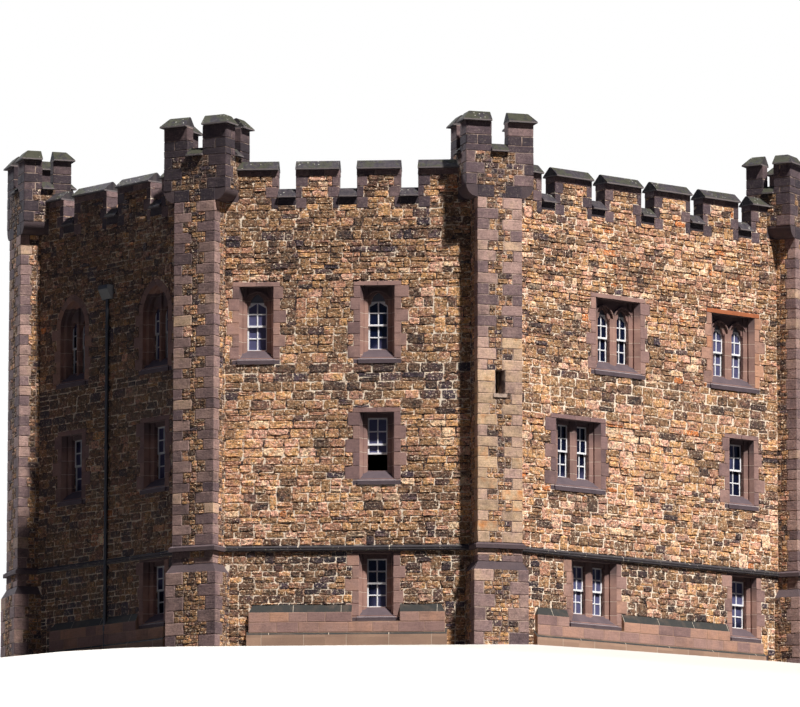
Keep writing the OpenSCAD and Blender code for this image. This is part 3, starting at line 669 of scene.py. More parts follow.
# Which parts of the frame have which material
CAD_FINISHES = {
    wall_mortar: [side + part for side in SIDES for part in ("_wall", "_parapet")],
    corner_masonry: [corner + part for corner in CORNERS for part in ("_buttress", "_turret")],
    window_stone: [storey + "_window_surrounds" for storey in ("ground", "first", "second")],
    wall_coping: ["merlon_copings"],
    turret_coping: ["turret_copings"],
    dark_coping: ["embrasure_copings"],
    course_stone: ["string_course"],
    plinth_stone: ["plinth_course"],
    white_paint: ["window_sashes"],
    window_glass: ["window_glass"],
    sheet_lead: ["roof_deck"],
    black_iron: ["rainwater_pipe"],
    floor_boards: ["storey_floors"],
}


# Shapes that are repeated
def new_shape(name, vertices, faces):
    mesh = bpy.data.meshes.new(name)
    mesh.from_pydata(vertices, [], faces)
    return bpy.data.objects.new(name, mesh)


def hewn_stone(name, rng):
    """A rough stone, one unit each way, its face at -Y and its back just inside the wall."""
    angles = [math.radians(angle) for angle in (0, 45, 75, 105, 135, 180, 225, 255, 285, 315)]
    sides = len(angles)
    squareness = rng.uniform(8.0, 16.0)
    outline = []
    for angle in angles:
        c, s = math.cos(angle), math.sin(angle)
        squared = (abs(c) ** squareness + abs(s) ** squareness) ** (-1.0 / squareness)
        reach = squared * rng.uniform(0.90, 1.03) * 0.5
        outline.append((reach * c, reach * s))
    # Rings of corners from the back to the face: depth and its play, share of the outline and its play
    rings = ((0.6, 0.0, 1.0, 0.0), (-0.45, 0.20, 0.99, 0.0), (-0.85, 0.30, 0.82, 0.12))
    vertices = []
    for depth, depth_play, share, share_play in rings:
        for x, z in outline:
            inward = share + rng.uniform(-share_play, share_play)
            vertices.append((x * inward, depth + rng.uniform(-depth_play, depth_play), z * inward))
    vertices.append((rng.uniform(-0.15, 0.15), -rng.uniform(0.5, 1.25), rng.uniform(-0.15, 0.15)))
    faces = []
    last = (len(rings) - 1) * sides
    for start in range(0, last, sides):
        for i in range(sides):
            a, b = start + i, start + (i + 1) % sides
            faces.append((a, b, b + sides, a + sides))
    faces += [(last + i, last + (i + 1) % sides, last + sides) for i in range(sides)]
    return new_shape(name, vertices, faces)


def dressed_block(name, rng):
    """A squared block, one unit each way about its middle, with worn edges."""
    mesh = bpy.data.meshes.new(name)
    bm = bmesh.new()
    bmesh.ops.create_cube(bm, size=1.0)
    bmesh.ops.bevel(bm, geom=bm.edges[:], offset=0.035, segments=1, affect="EDGES")
    for vertex in bm.verts:
        vertex.co += Vector([rng.uniform(-0.010, 0.010) for _ in range(3)])
    bm.to_mesh(mesh)
    bm.free()
    return bpy.data.objects.new(name, mesh)


def plain_bar(name, rng):
    """A straight bar, one unit each way about its middle, with a narrower face at -Y."""
    outline = [(-0.5, 0.5), (0.5, 0.5), (0.5, 0.0), (0.32, -0.5), (-0.32, -0.5), (-0.5, 0.0)]
    return extruded(name, outline)


def lead_roll(name, rng):
    """A round-topped roll, one unit each way about the middle of its foot, along Z."""
    arc = [(0.5 * math.cos(math.radians(a)), math.sin(math.radians(a))) for a in range(0, 181, 30)]
    return extruded(name, arc)


def extruded(name, outline):
    """An outline in X and Y, drawn out one unit along Z."""
    count = len(outline)
    vertices = [(x, y, z) for z in (-0.5, 0.5) for x, y in outline]
    faces = [(i, (i + 1) % count, (i + 1) % count + count, i + count) for i in range(count)]
    faces += [tuple(reversed(range(count))), tuple(range(count, 2 * count))]
    return new_shape(name, vertices, faces)


def shape_collection(name, make, count, seed):
    """Several versions of a shape, for the stones to pick from."""
    rng = random.Random(seed)
    shapes = bpy.data.collections.new(name)
    for i in range(count):
        shape = make(f"{name}_{i:02d}", rng)
        bm = bmesh.new()
        bm.from_mesh(shape.data)
        bmesh.ops.recalc_face_normals(bm, faces=bm.faces[:])
        bm.to_mesh(shape.data)
        bm.free()
        shapes.objects.link(shape)
    return shapes


def laying_tree():
    """Sets a shape on each point, sized and turned as the point says, then roughens the result with wear."""
    tree = bpy.data.node_groups.new("Laid Pieces", "GeometryNodeTree")
    sockets = (("Geometry", "NodeSocketGeometry"), ("Shapes", "NodeSocketCollection"),
               ("Wear", "NodeSocketFloat"), ("Wear Size", "NodeSocketFloat"),
               ("Finish", "NodeSocketMaterial"))
    for name, kind in sockets:
        tree.interface.new_socket(name=name, in_out="INPUT", socket_type=kind)
    tree.interface.new_socket(name="Geometry", in_out="OUTPUT", socket_type="NodeSocketGeometry")
    nodes = Nodes(tree)
    given = nodes.new("NodeGroupInput").socket.node.outputs
    points, shapes, wear, wear_size, finish = (Wire(nodes, given[name]) for name, _ in sockets)

    def stored(name, kind):
        return nodes.new("GeometryNodeInputNamedAttribute", {"data_type": kind}, {"Name": name}, "Attribute")

    instances = nodes.new("GeometryNodeCollectionInfo", None,
                          {"Collection": shapes, "Separate Children": True, "Reset Children": True})
    turn = nodes.new("FunctionNodeEulerToRotation", None, {0: stored("turn", "FLOAT_VECTOR")})
    placed = nodes.new("GeometryNodeInstanceOnPoints", None, {
        "Points": points, "Instance": instances, "Pick Instance": True,
        "Instance Index": stored("shape", "INT"), "Rotation": turn, "Scale": stored("size", "FLOAT_VECTOR")})
    real = nodes.new("GeometryNodeRealizeInstances", None, {"Geometry": placed})
    where = nodes.new("GeometryNodeInputPosition")
    cloud = nodes.noise(where, 1.0 / wear_size, 1.0, out=1)
    moved = nodes.new("ShaderNodeVectorMath", {"operation": "SCALE"},
                      {0: nodes.vector("SUBTRACT", cloud, (0.5, 0.5, 0.5)), "Scale": wear * 2.0})
    worn = nodes.new("GeometryNodeSetPosition", None, {"Geometry": real, "Offset": moved})
    coloured = nodes.new("GeometryNodeSetMaterial", None, {"Geometry": worn, "Material": finish})
    nodes.new("NodeGroupOutput", None, {"Geometry": coloured})
    return tree


Kit = namedtuple("Kit", "tree stones blocks bars rolls materials")
_kit = []


def kit():
    """The tree, shapes and materials that the pieces share, made once."""
    if not _kit:
        builds = (*CAD_FINISHES, rubble_sandstone, dressed_sandstone, smooth_sandstone)
        materials = {build.__name__: finish_material(build.__name__, build) for build in builds}
        _kit.append(Kit(
            tree=laying_tree(),
            stones=shape_collection("hewn", hewn_stone, count=9, seed=11),
            blocks=shape_collection("dressed", dressed_block, count=6, seed=5),
            bars=shape_collection("bar", plain_bar, count=1, seed=0),
            rolls=shape_collection("roll", lead_roll, count=1, seed=0),
            materials=materials))
    return _kit[0]


def clear_kit():
    """Removes the shapes and the tree once every piece is laid."""
    used = _kit.pop()
    for shapes in (used.stones, used.blocks, used.bars, used.rolls):
        for shape in list(shapes.objects):
            bpy.data.objects.remove(shape)
        bpy.data.collections.remove(shapes)
    bpy.data.node_groups.remove(used.tree)


class Place:
    """A local frame on a face of the keep: X along the face, Y inwards, Z up."""

    def __init__(self, origin, turn):
        self.origin = Vector(origin)
        self.turn = turn
        self.along = Vector((math.cos(turn), math.sin(turn)))
        self.inward = Vector((-math.sin(turn), math.cos(turn)))

    def at(self, x, y, z):
        flat = self.origin + self.along * x + self.inward * y
        return Vector((flat.x, flat.y, z))

    def moved(self, x, y, turn=0.0):
        """A frame at a point of this one, turned by so many degrees."""
        return Place(self.at(x, y, 0).to_2d(), self.turn + math.radians(turn))


def wall_place(k):
    return Place(CORNER_POINTS[k], math.radians(45 * k))


def corner_place(k):
    return Place(CORNER_POINTS[k], math.radians(45 * k - 22.5))


def wall_length(k):
    return (CORNER_POINTS[(k + 1) % 8] - CORNER_POINTS[k]).length


def box_sides(place, x0, x1, y0, y1):
    """The frames and widths of the four upright faces of a box: front, right, back, left."""
    return ((place.moved(x0, y0), x1 - x0), (place.moved(x1, y0, 90), y1 - y0),
            (place.moved(x1, y1, 180), x1 - x0), (place.moved(x0, y1, 270), y1 - y0))


class Laying:
    """A piece made of many stones or bars. It is filled with points, and made a mesh by the tree.
    grime gives the shift of a stone's tone and how much more often it is blackened at a place in the wall,
    both of which hold painted light and shade as well as dirt."""

    def __init__(self, name, slot, shapes, settings, finish="rubble_sandstone", wear=0.0, wear_size=0.1,
                 grime=None):
        self.name, self.slot, self.shapes, self.finish = name, slot, shapes, finish
        self.settings, self.wear, self.wear_size, self.grime = settings, wear, wear_size, grime
        self.rng = random.Random(f"{name} {settings.seed}")
        self.rows = []

    def add(self, place, centre, size, tilt=(0.0, 0.0), tone=0.5, soot=0.0):
        """One shape at a point of the place, tilted about X and Y and then turned with the place."""
        shape = self.rng.randrange(len(self.shapes.objects))
        self.rows.append((place.at(*centre), size, (*tilt, place.turn), shape, tone, soot))

    def block(self, place, x, y, z, tone=0.5, soot=0.0):
        """A squared block that fills the ranges x, y and z."""
        centre = [(a + b) / 2 for a, b in (x, y, z)]
        size = [abs(b - a) for a, b in (x, y, z)]
        self.add(place, centre, size, tone=tone, soot=soot)

    def stone(self, place, x0, x1, z0, z1, look):
        """A rough stone in the face of a wall."""
        rng = self.rng
        x, z = (x0 + x1) / 2, (z0 + z1) / 2
        flip = rng.choice((0.0, math.pi))
        tilt = rng.uniform(-0.02, 0.02)
        proud = look.proud * rng.uniform(0.5, 2.1)
        # The place adds painted light and shade to the tone and the blackening, as well as dirt
        shift, grime = self.grime(x, z) if self.grime else (0.0, 0.0)
        darkened = rng.random() < look.soot + grime
        soot = rng.uniform(0.5, 1.0) if darkened else rng.uniform(0.0, 0.18)
        tone = rng.triangular(look.tones[0], look.tones[2], look.tones[1]) + shift
        self.add(place, (x, 0.0, z), (x1 - x0, proud, z1 - z0), (0.0, flip + tilt), tone, soot)

    def build(self):
        """Makes the mesh, as a plain object that rides on the keep."""
        mesh = bpy.data.meshes.new(self.name + "_points")
        mesh.from_pydata([row[0] for row in self.rows], [], [])
        kinds = {"size": "FLOAT_VECTOR", "turn": "FLOAT_VECTOR", "shape": "INT", "tone": "FLOAT",
                 "soot": "FLOAT"}
        for column, (name, kind) in enumerate(kinds.items(), 1):
            values = [row[column] for row in self.rows]
            field = "value"
            if kind == "FLOAT_VECTOR":
                values = [part for value in values for part in value]
                field = "vector"
            mesh.attributes.new(name, kind, "POINT").data.foreach_set(field, values)
        points = bpy.data.objects.new(self.name + "_points", mesh)
        bpy.context.scene.collection.objects.link(points)
        modifier = points.modifiers.new("Laid Pieces", "NODES")
        modifier.node_group = kit().tree
        inputs = {"Shapes": self.shapes, "Wear": self.wear, "Wear Size": self.wear_size,
                  "Finish": kit().materials[self.finish]}
        for item in kit().tree.interface.items_tree:
            if item.in_out == "INPUT" and item.name in inputs:
                modifier[item.identifier] = inputs[item.name]
        evaluated = points.evaluated_get(bpy.context.evaluated_depsgraph_get())
        result = bpy.data.meshes.new_from_object(evaluated)
        if not result.polygons:
            raise RuntimeError(f"{self.name} came out empty")
        for name in ("size", "turn", "shape"):
            if name in result.attributes:
                result.attributes.remove(result.attributes[name])
        piece = bpy.data.objects.new(self.name, result)
        bpy.data.objects.remove(points)
        bpy.context.scene.collection.objects.link(piece)
        result.name = self.name
        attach(piece, "root")


# Laying out stones
def clear_of(half, depth=0.0):
    """Distance along a wall from its corner to the side of a buttress or turret, at a depth in the wall."""
    return half / math.cos(math.radians(22.5)) + depth * MITRE


def free_cells(x0, x1, z0, z1, taken):
    """The parts of a course that are clear of the rectangles already taken, as (x0, x1, z0, z1)."""
    slack = 0.015
    near = [t for t in taken if t[2] < z1 - slack and t[3] > z0 + slack and t[0] < x1 and t[1] > x0]
    edges = sorted({x0, x1} | {min(max(edge, x0), x1) for t in near for edge in t[:2]})
    cells = []
    for a, b in zip(edges, edges[1:]):
        low, high = z0, z1
        for t in near:
            if t[0] < b - 1e-6 and t[1] > a + 1e-6:
                if t[2] <= z0 + slack:
                    low = max(low, t[3])
                else:
                    high = min(high, t[2])
        if high - low < 0.05:
            continue
        if cells and abs(cells[-1][1] - a) < 1e-6 and cells[-1][2:] == (low, high):
            cells[-1] = (cells[-1][0], b, low, high)
        else:
            cells.append((a, b, low, high))
    return cells


def course_lines(z0, z1, heights, rng):
    """Levels of the bed joints from z0 to z1."""
    levels = [z0]
    while z1 - levels[-1] > heights[1] * 1.3:
        levels.append(levels[-1] + rng.uniform(*heights))
    if z1 - levels[-1] > heights[1]:
        levels.append((levels[-1] + z1) / 2)
    return levels + [z1]


def lengths_between(x0, x1, lengths, rng):
    """Places of the upright joints of one course."""
    cuts = [x0]
    while x1 - cuts[-1] > lengths[1] * 1.25:
        cuts.append(cuts[-1] + rng.uniform(*lengths))
    if x1 - cuts[-1] > lengths[1]:
        cuts.append((cuts[-1] + x1) / 2)
    return cuts + [x1]


def lay_rubble(laying, place, x, z, taken, look, key=0.0):
    """Courses of rough stones over the face from x[0] to x[1] and z[0] to z[1], round the taken rectangles.
    key picks the waves of the courses."""
    rng, settings = laying.rng, laying.settings
    taken = list(taken)
    levels = course_lines(z[0], z[1], look.heights, rng)
    half, side = settings.joint / 2, settings.joint * 0.34

    def strayed(x_mid, level):
        if level in (z[0], z[1]) or level not in levels:
            return level
        return level + settings.wave * noise.noise(Vector((x_mid * 0.9, level * 5.0, key)))

    for low, high, above in zip(levels, levels[1:], levels[2:] + [None]):
        for a, b, cell_low, cell_high in free_cells(x[0], x[1], low, high, taken):
            for left, right in pairwise(lengths_between(a, b, look.lengths, rng)):
                middle = (left + right) / 2
                bottom, top = strayed(middle, cell_low), strayed(middle, cell_high)
                x0, x1 = left + side, right - side
                if above and cell_high == high and rng.random() < look.jump and right - left < LONGEST_JUMP:
                    if not any(t[0] < right and t[1] > left and t[2] < above and t[3] > high for t in taken):
                        taken.append((left, right, high, above))
                        top = strayed(middle, above)
                if top - bottom > LOWEST_SPLIT and rng.random() < look.split:
                    bed = bottom + (top - bottom) * rng.uniform(0.35, 0.65)
                    laying.stone(place, x0, x1, bottom + half, bed - half * 0.7, look)
                    laying.stone(place, x0, x1, bed + half * 0.7, top - half, look)
                else:
                    laying.stone(place, x0, x1, bottom + half, top - half, look)


def merlon_start(k, i):
    count, length = MERLONS[k % 4]
    return wall_length(k) / 2 + (i - count / 2) * (length + MERLON_GAP) + MERLON_GAP / 2


def merlon_ranges(k):
    """Start and end of every merlon of a wall, the end ones from the turrets."""
    count, length = MERLONS[k % 4]
    whole = [(merlon_start(k, i), merlon_start(k, i) + length) for i in range(count)]
    end = merlon_start(k, 0) - MERLON_GAP
    edge = clear_of(TURRET_HALF)
    return [(edge, end)] + whole + [(wall_length(k) - end, wall_length(k) - edge)]


def embrasure_ranges(k):
    return [(a[1], b[0]) for a, b in pairwise(merlon_ranges(k))]


def surround_box(storey, middle, kind):
    """The rectangle that a window's dressed stone takes in the wall face."""
    half = OPENING_WIDTH[kind] / 2 + JAMB
    top = STRING_Z[0] if storey == GROUND else HEAD_Z[storey] + LINTEL
    if kind == ARCHED:
        top = ARCH_Z
    return (middle - half, middle + half, SILL_Z[storey] - SILL_DROP, top)


def arch_radius(width, rise):
    return (width * width / 4 + rise * rise) / width


def arch_boxes(middle):
    """Rectangles that together cover an arched window's head."""
    width, rise = OPENING_WIDTH[ARCHED] + 2 * JAMB, ARCH_RISE + JAMB
    radius = arch_radius(width, rise)
    count = 10
    step = rise / count
    boxes = []
    for i in range(count):
        half = width / 2 - radius + math.sqrt(radius * radius - (i * step) * (i * step))
        boxes.append((middle - half, middle + half, ARCH_Z + i * step, ARCH_Z + (i + 1) * step))
    return boxes


def jamb_courses(storey, kind):
    """Levels of the blocks beside a window, from its sill to its head or springing."""
    top = ARCH_Z if kind == ARCHED else HEAD_Z[storey]
    low = SILL_Z[storey] - 0.02
    count = round((top - low) / 0.36)
    return [low + (top - low) * i / count for i in range(count + 1)]


def long_jamb(k, index, course, side):
    """How far a jamb block bonds into the rubble: nothing for every other one."""
    if (course + (side > 0)) % 2:
        return 0.0
    return 0.08 + 0.17 * random.Random(f"{k % 4} {index} {course} {side}").random()


def window_boxes(k):
    """All the rectangles that a wall's windows take, with the blocks that bond into the rubble."""
    boxes = []
    for index, (storey, middle, kind) in enumerate(WINDOWS[k % 4]):
        boxes.append(surround_box(storey, middle, kind))
        if kind == ARCHED:
            boxes += arch_boxes(middle)
        edge = OPENING_WIDTH[kind] / 2 + JAMB
        for course, (low, high) in enumerate(pairwise(jamb_courses(storey, kind))):
            for side in (-1, 1):
                reach = long_jamb(k, index, course, side)
                if reach:
                    ends = sorted((middle + side * edge, middle + side * (edge + reach)))
                    boxes.append((*ends, low, high))
    return boxes


def end_boxes(k):
    """What the buttresses and turrets take at both ends of a wall."""
    length = wall_length(k)
    boxes = []
    for half, low, high in ((BASE_HALF, 0.0, BASE_TOP), (SHAFT_HALF, BASE_TOP, STRING_Z[0]),
                            (SHAFT_HALF, STRING_Z[1], CORBEL_Z), (TURRET_HALF, CORBEL_Z, ABOVE_ALL)):
        edge = clear_of(half) + 0.01
        boxes += [(0.0, edge, low, high), (length - edge, length, low, high)]
    return boxes


# How much more often the stones are blackened on the walls that see little sun, as painted shade, and how much
# more golden and lighter the front right wall is, partly as painted light
PAINTED_SHADE_SOOT = {4: 0.12, 5: 0.18, 6: 0.36, 7: 0.80}
GOLDEN_AND_PAINTED_LIGHT = {1: 0.09}


def grime_of(k):
    """How the tones of a wall's stones drift, and how much more often they are blackened, at a place in it: by
    age, by painted shade on the walls that see little sun, and just below the sills and the string course. The
    front right wall's stones are lighter, partly as painted light.
    """
    def grime(x, z):
        drift = noise.noise(Vector((x * 0.40, z * 0.55, k * 7.3)))
        soot = PAINTED_SHADE_SOOT.get(k, 0.0) + max(0.0, -drift) * 0.35
        # Stones just below a sill or the string course are more often blackened
        for storey, middle, kind in WINDOWS[k % 4]:
            beside = abs(x - middle) < OPENING_WIDTH[kind] / 2 + 0.3
            if beside and 0.0 < SILL_Z[storey] - SILL_DROP - z < 0.8:
                soot += 0.4
        if 0.0 < STRING_Z[0] - z < 0.5:
            soot += 0.25
        return GOLDEN_AND_PAINTED_LIGHT.get(k, 0.0) + drift * 0.20, soot
    return grime


def face_rubble(k, part, settings):
    """The rubble of one wall or parapet, still without stones."""
    return Laying(SIDES[k] + part, "rubble_stone", kit().stones, settings, wear=settings.wear, wear_size=0.12,
                  grime=grime_of(k))


def lay_wall(k, settings):
    """The rubble of one wall, up to the parapet."""
    stones = face_rubble(k, "_wall_stones", settings)
    place, length = wall_place(k), wall_length(k)
    plinth = (PLINTH_IN, length - PLINTH_IN, 0.0, PLINTH_TOP)
    taken = window_boxes(k) + end_boxes(k) + [plinth]
    for (low, look), (high, _) in pairwise(BANDS if k % 4 else FRONT_BANDS):
        high = STRING_Z[0] if look is BASE_RUBBLE else min(high, WALL_TOP)
        lay_rubble(stones, place, (0.0, length), (low, high), taken, look, k)
    stones.build()


# Lowest, highest and most usual tones of the dressed blocks, along the colours of the dressed stone. The
# merlons of a turret have their own for each course.
SHAFT_TONES = (0.30, 0.88, 0.58)
SANDY_TONES = (0.70, 0.97, 0.90)
BODY_TONES = (0.04, 0.62, 0.26)
TURRET_TONES = ((0.08, 0.38, 0.20), (0.00, 0.22, 0.08), (0.22, 0.54, 0.38))
MERLON_TONES = (0.08, 0.52, 0.26)
TOP_TONES = (0.22, 0.60, 0.42)
# Level up to which the buttresses with a slit are sandy, and how much more blackened the blocks of turrets are
# that see little sun, as painted shade
SANDY_TOP = 9.0
PAINTED_SHADE_TURRETS = {0: 0.55, 4: 0.3, 5: 0.3, 6: 0.4, 7: 0.5}


def lay_parapet(k, settings):
    """Rubble, jamb blocks and the smooth top course of one parapet, inside and out."""
    rough = face_rubble(k, "_parapet_stones", settings)
    blocks = Laying(SIDES[k] + "_parapet_blocks", "rubble_stone", kit().blocks, settings, "dressed_sandstone",
                    wear=0.004)
    rng = blocks.rng
    place, length = wall_place(k), wall_length(k)
    inside = place.moved(length, PARAPET, 180)
    proud, half, bedding = settings.ashlar_proud, settings.fine_joint / 2, 0.10
    top = MERLON_TOP - CAP
    outer, inner = end_boxes(k), []
    for gap in embrasure_ranges(k):
        # Under each embrasure coping a slab of the darkest tone, wholly blackened: painted shadow of the
        # coping
        blocks.block(place, gap, (-proud * 0.5, bedding), (EMBRASURE_Z - SLAB, EMBRASURE_Z), 0.0, 1.0)
        outer.append((*gap, EMBRASURE_Z - SLAB, ABOVE_ALL))
        inner.append((length - gap[1], length - gap[0], EMBRASURE_Z, ABOVE_ALL))
    levels = [EMBRASURE_Z + (top - EMBRASURE_Z) * i / 2 for i in range(-1, 3)]
    merlons = merlon_ranges(k)
    for index, (start, end) in enumerate(merlons):
        free_start, free_end = index > 0, index < len(merlons) - 1
        for jamb, way in [(start, 1)] * free_start + [(end, -1)] * free_end:
            for course, (low, high) in enumerate(pairwise(levels)):
                wide = 0.20 + 0.14 * ((course + (way > 0)) % 2) + rng.uniform(-0.03, 0.03)
                # The lowest block lies below the embrasure, so that it shows on the outside only
                if course == 0:
                    xs, depth = sorted((jamb, jamb + way * wide)), (-proud, bedding)
                else:
                    xs, depth = sorted((jamb - way * proud, jamb + way * wide)), (-proud, PARAPET + proud)
                    inner.append((length - xs[1], length - xs[0], low, high))
                outer.append((*xs, low, high))
                blocks.block(place, (xs[0] + half, xs[1] - half), depth, (low + half, high - half),
                             rng.triangular(*MERLON_TONES), rng.uniform(0.1, 0.6))
        ends = (start - proud * free_start, end + proud * free_end)
        for a, b in pairwise(lengths_between(*ends, (0.34, 0.58), rng)):
            blocks.block(place, (a, b), (-proud * 1.2, PARAPET + proud * 1.2), (top, MERLON_TOP),
                         rng.triangular(*TOP_TONES), rng.uniform(0.1, 0.5))
        outer.append((start, end, top, ABOVE_ALL))
        inner.append((length - end, length - start, top, ABOVE_ALL))
    foot_look = THIN_RUBBLE if k % 4 else SQUARED_COURSES
    lay_rubble(rough, place, (0.0, length), (WALL_TOP, EMBRASURE_Z), outer, foot_look, k)
    lay_rubble(rough, place, (0.0, length), (EMBRASURE_Z, top), outer, THIN_RUBBLE, k)
    for corner, z in ((0.0, (ROOF_TOP + UPSTAND, CORBEL_Z)), (TURRET_HALF, (CORBEL_Z, top))):
        edge = clear_of(corner, PARAPET)
        lay_rubble(rough, inside, (edge, length - edge), z, inner, THIN_RUBBLE, k + 20)
    rough.build()
    blocks.build()


def lay_quoins(rough, blocks, place, box, z, height, tones, look=FILLING, slit=None, crust_and_shade=0.0, whole=True):
    """Blocks round the upright corners of a box, long and short in turn, with rubble between them.
    box is x0, x1, y0, y1; slit gives the heights of an opening in the front, with dressed blocks beside it;
    crust is how much more blackened the blocks are, as painted shade on turrets that see little sun. A box
    that isn't whole has its back in the walls."""
    x0, x1, y0, y1 = box
    rng = blocks.rng
    proud, half = blocks.settings.ashlar_proud, blocks.settings.fine_joint / 2
    count = max(1, round((z[1] - z[0]) / height))
    levels = [z[0] + (z[1] - z[0]) * i / count for i in range(count + 1)]
    levels = [z[0]] + [level + rng.uniform(-0.02, 0.02) for level in levels[1:-1]] + [z[1]]
    faces = box_sides(place, x0, x1, y0, y1)
    for course, (low, high) in enumerate(pairwise(levels)):
        at_slit = slit and slit[0] < high and low < slit[1]
        reaches = {}
        for sx in (-1, 1):
            for sy in (-1, 1) if whole else (-1,):
                long = (course + (sx > 0) + (sy > 0)) % 2
                across = (0.58 if long else 0.30) + rng.uniform(-0.04, 0.05)
                if at_slit and sy < 0:
                    across = x1 - SLIT_HALF
                across = min(across, (x1 - x0) * 0.48)
                back = min((0.28 if long else 0.46) + rng.uniform(-0.03, 0.04), (y1 - y0) * 0.48)
                reaches[sx, sy] = (across, back)
                corner_x, corner_y = (x1 if sx > 0 else x0), (y1 if sy > 0 else y0)
                xs = sorted((corner_x + sx * proud, corner_x - sx * across))
                xs = (xs[0] + half * (sx > 0), xs[1] - half * (sx < 0))
                ys = sorted((corner_y + sy * proud, corner_y - sy * back))
                blocks.block(place, xs, ys, (low + half, high - half), rng.triangular(*tones),
                             crust_and_shade + rng.uniform(0.0, 0.5))
        if not whole:
            reaches[-1, 1] = reaches[1, 1] = (x1 - x0, 0.0)
        spans = ((reaches[-1, -1][0], reaches[1, -1][0]), (reaches[1, -1][1], reaches[1, 1][1]),
                 (reaches[1, 1][0], reaches[-1, 1][0]), (reaches[-1, 1][1], reaches[-1, -1][1]))
        for index, ((face, width), (left, right)) in enumerate(zip(faces, spans)):
            if width - left - right > 0.07 and not (at_slit and index == 0):
                fill_course(rough, face, left, width - right, low, high, look)


def fill_course(rough, face, x0, x1, low, high, look):
    """Small stones between two quoins, in as many thin beds as their course has room for."""
    rng = rough.rng
    gap = rough.settings.joint / 2 * 0.7
    beds = max(1, round((high - low) / rng.uniform(*look.heights)))
    levels = [low + (high - low) * i / beds for i in range(beds + 1)]
    for bottom, top in pairwise(levels):
        for a, b in pairwise(lengths_between(x0, x1, look.lengths, rng)):
            rough.stone(face, a + gap, b - gap, bottom + gap, top - gap, look)


def corner_layings(k, part, settings):
    """The rubble and the dressed blocks of one buttress or turret, still without stones."""
    name = CORNERS[k] + part
    rough = Laying(name + "_stones", "dark_ashlar", kit().stones, settings, wear=0.010)
    blocks = Laying(name + "_blocks", "dark_ashlar", kit().blocks, settings, "dressed_sandstone", wear=0.007)
    return rough, blocks


def lay_buttress(k, settings):
    """Quoins and filling of one buttress, with the dressed blocks of its slit where it has one."""
    rough, blocks = corner_layings(k, "_buttress", settings)
    place = corner_place(k)
    base = (-BASE_HALF, BASE_HALF, -BASE_OUT, BASE_HALF * MITRE + 0.08)
    shaft = (-SHAFT_HALF, SHAFT_HALF, -SHAFT_OUT, SHAFT_HALF * MITRE + 0.08)
    lay_quoins(rough, blocks, place, base, (0.0, BASE_Z), 0.36, SHAFT_TONES, whole=False)
    lay_quoins(rough, blocks, place, shaft, (BASE_TOP, STRING_Z[0]), 0.20, SHAFT_TONES, whole=False)
    levels = (STRING_Z[1], *SLIT_Z, SANDY_TOP, CORBEL_Z) if k in SLIT_CORNERS else (STRING_Z[1], CORBEL_Z)
    for stretch in pairwise(levels):
        slit = stretch if stretch == SLIT_Z else None
        tones = SANDY_TONES if stretch[1] < CORBEL_Z else SHAFT_TONES
        lay_quoins(rough, blocks, place, shaft, stretch, 0.31, tones, slit=slit, whole=False)
    rough.build()
    blocks.build()


def lay_turret(k, settings):
    """Blocks of one turret: the face of its corbels, its body and its four merlons."""
    rough, blocks = corner_layings(k, "_turret", settings)
    place = corner_place(k)
    rng = blocks.rng
    proud, joint, half = settings.ashlar_proud, settings.fine_joint, settings.fine_joint / 2
    y0, y1 = -SHAFT_OUT, TURRET_DEPTH - SHAFT_OUT
    for side in (-1, 1):
        xs = sorted((side * CORBEL_GAP, side * SHAFT_HALF))
        blocks.block(place, xs, (y0 - proud, y0 + 0.2), (CORBEL_Z + half, TURRET_Z - half), 0.08, 0.6)
    fill_course(rough, place.moved(0.0, y0), -CORBEL_GAP, CORBEL_GAP, CORBEL_Z, TURRET_Z, TURRET_FILLING)
    body = (-TURRET_HALF, TURRET_HALF, y0, y1)
    # Turrets that see little sun get more blackened blocks and filling: painted shade
    crust_and_shade = PAINTED_SHADE_TURRETS.get(k, 0.0)
    filling = TURRET_FILLING._replace(soot=TURRET_FILLING.soot + crust_and_shade * 0.6)
    lay_quoins(rough, blocks, place, body, (TURRET_Z, TURRET_SILL), 0.30, BODY_TONES, filling, crust_and_shade=crust_and_shade)
    levels = (TURRET_SILL, *[TURRET_SILL + bed for bed in TURRET_BEDS], TURRET_TOP)
    thick = TURRET_WALL + 2 * proud
    front_arm = TURRET_HALF - TURRET_GAP / 2 + 2 * proud
    side_arm = (TURRET_DEPTH - TURRET_SIDE_GAP) / 2 + proud
    for sx in (-1, 1):
        for corner_y, sy in ((y0, -1), (y1, 1)):
            outer_x, outer_y = sx * (TURRET_HALF + proud), corner_y + sy * proud
            inner_x, inner_y = outer_x - sx * thick, outer_y - sy * thick
            end_x, end_y = outer_x - sx * front_arm, corner_y - sy * side_arm
            side_block = ((outer_x, inner_x), (outer_y, end_y))
            for course, (low, high) in enumerate(pairwise(levels)):
                if sy > 0:
                    parts = (side_block,)
                elif course % 2:
                    parts = (side_block, ((inner_x - sx * joint, end_x), (outer_y, inner_y)))
                else:
                    parts = (((outer_x, end_x), (outer_y, inner_y)),
                             ((outer_x, inner_x), (inner_y - sy * joint, end_y)))
                for xs, ys in parts:
                    blocks.block(place, sorted(xs), sorted(ys), (low + half, high - half),
                                 rng.triangular(*TURRET_TONES[course]), crust_and_shade + rng.uniform(0.1, 0.5))
    rough.build()
    blocks.build()


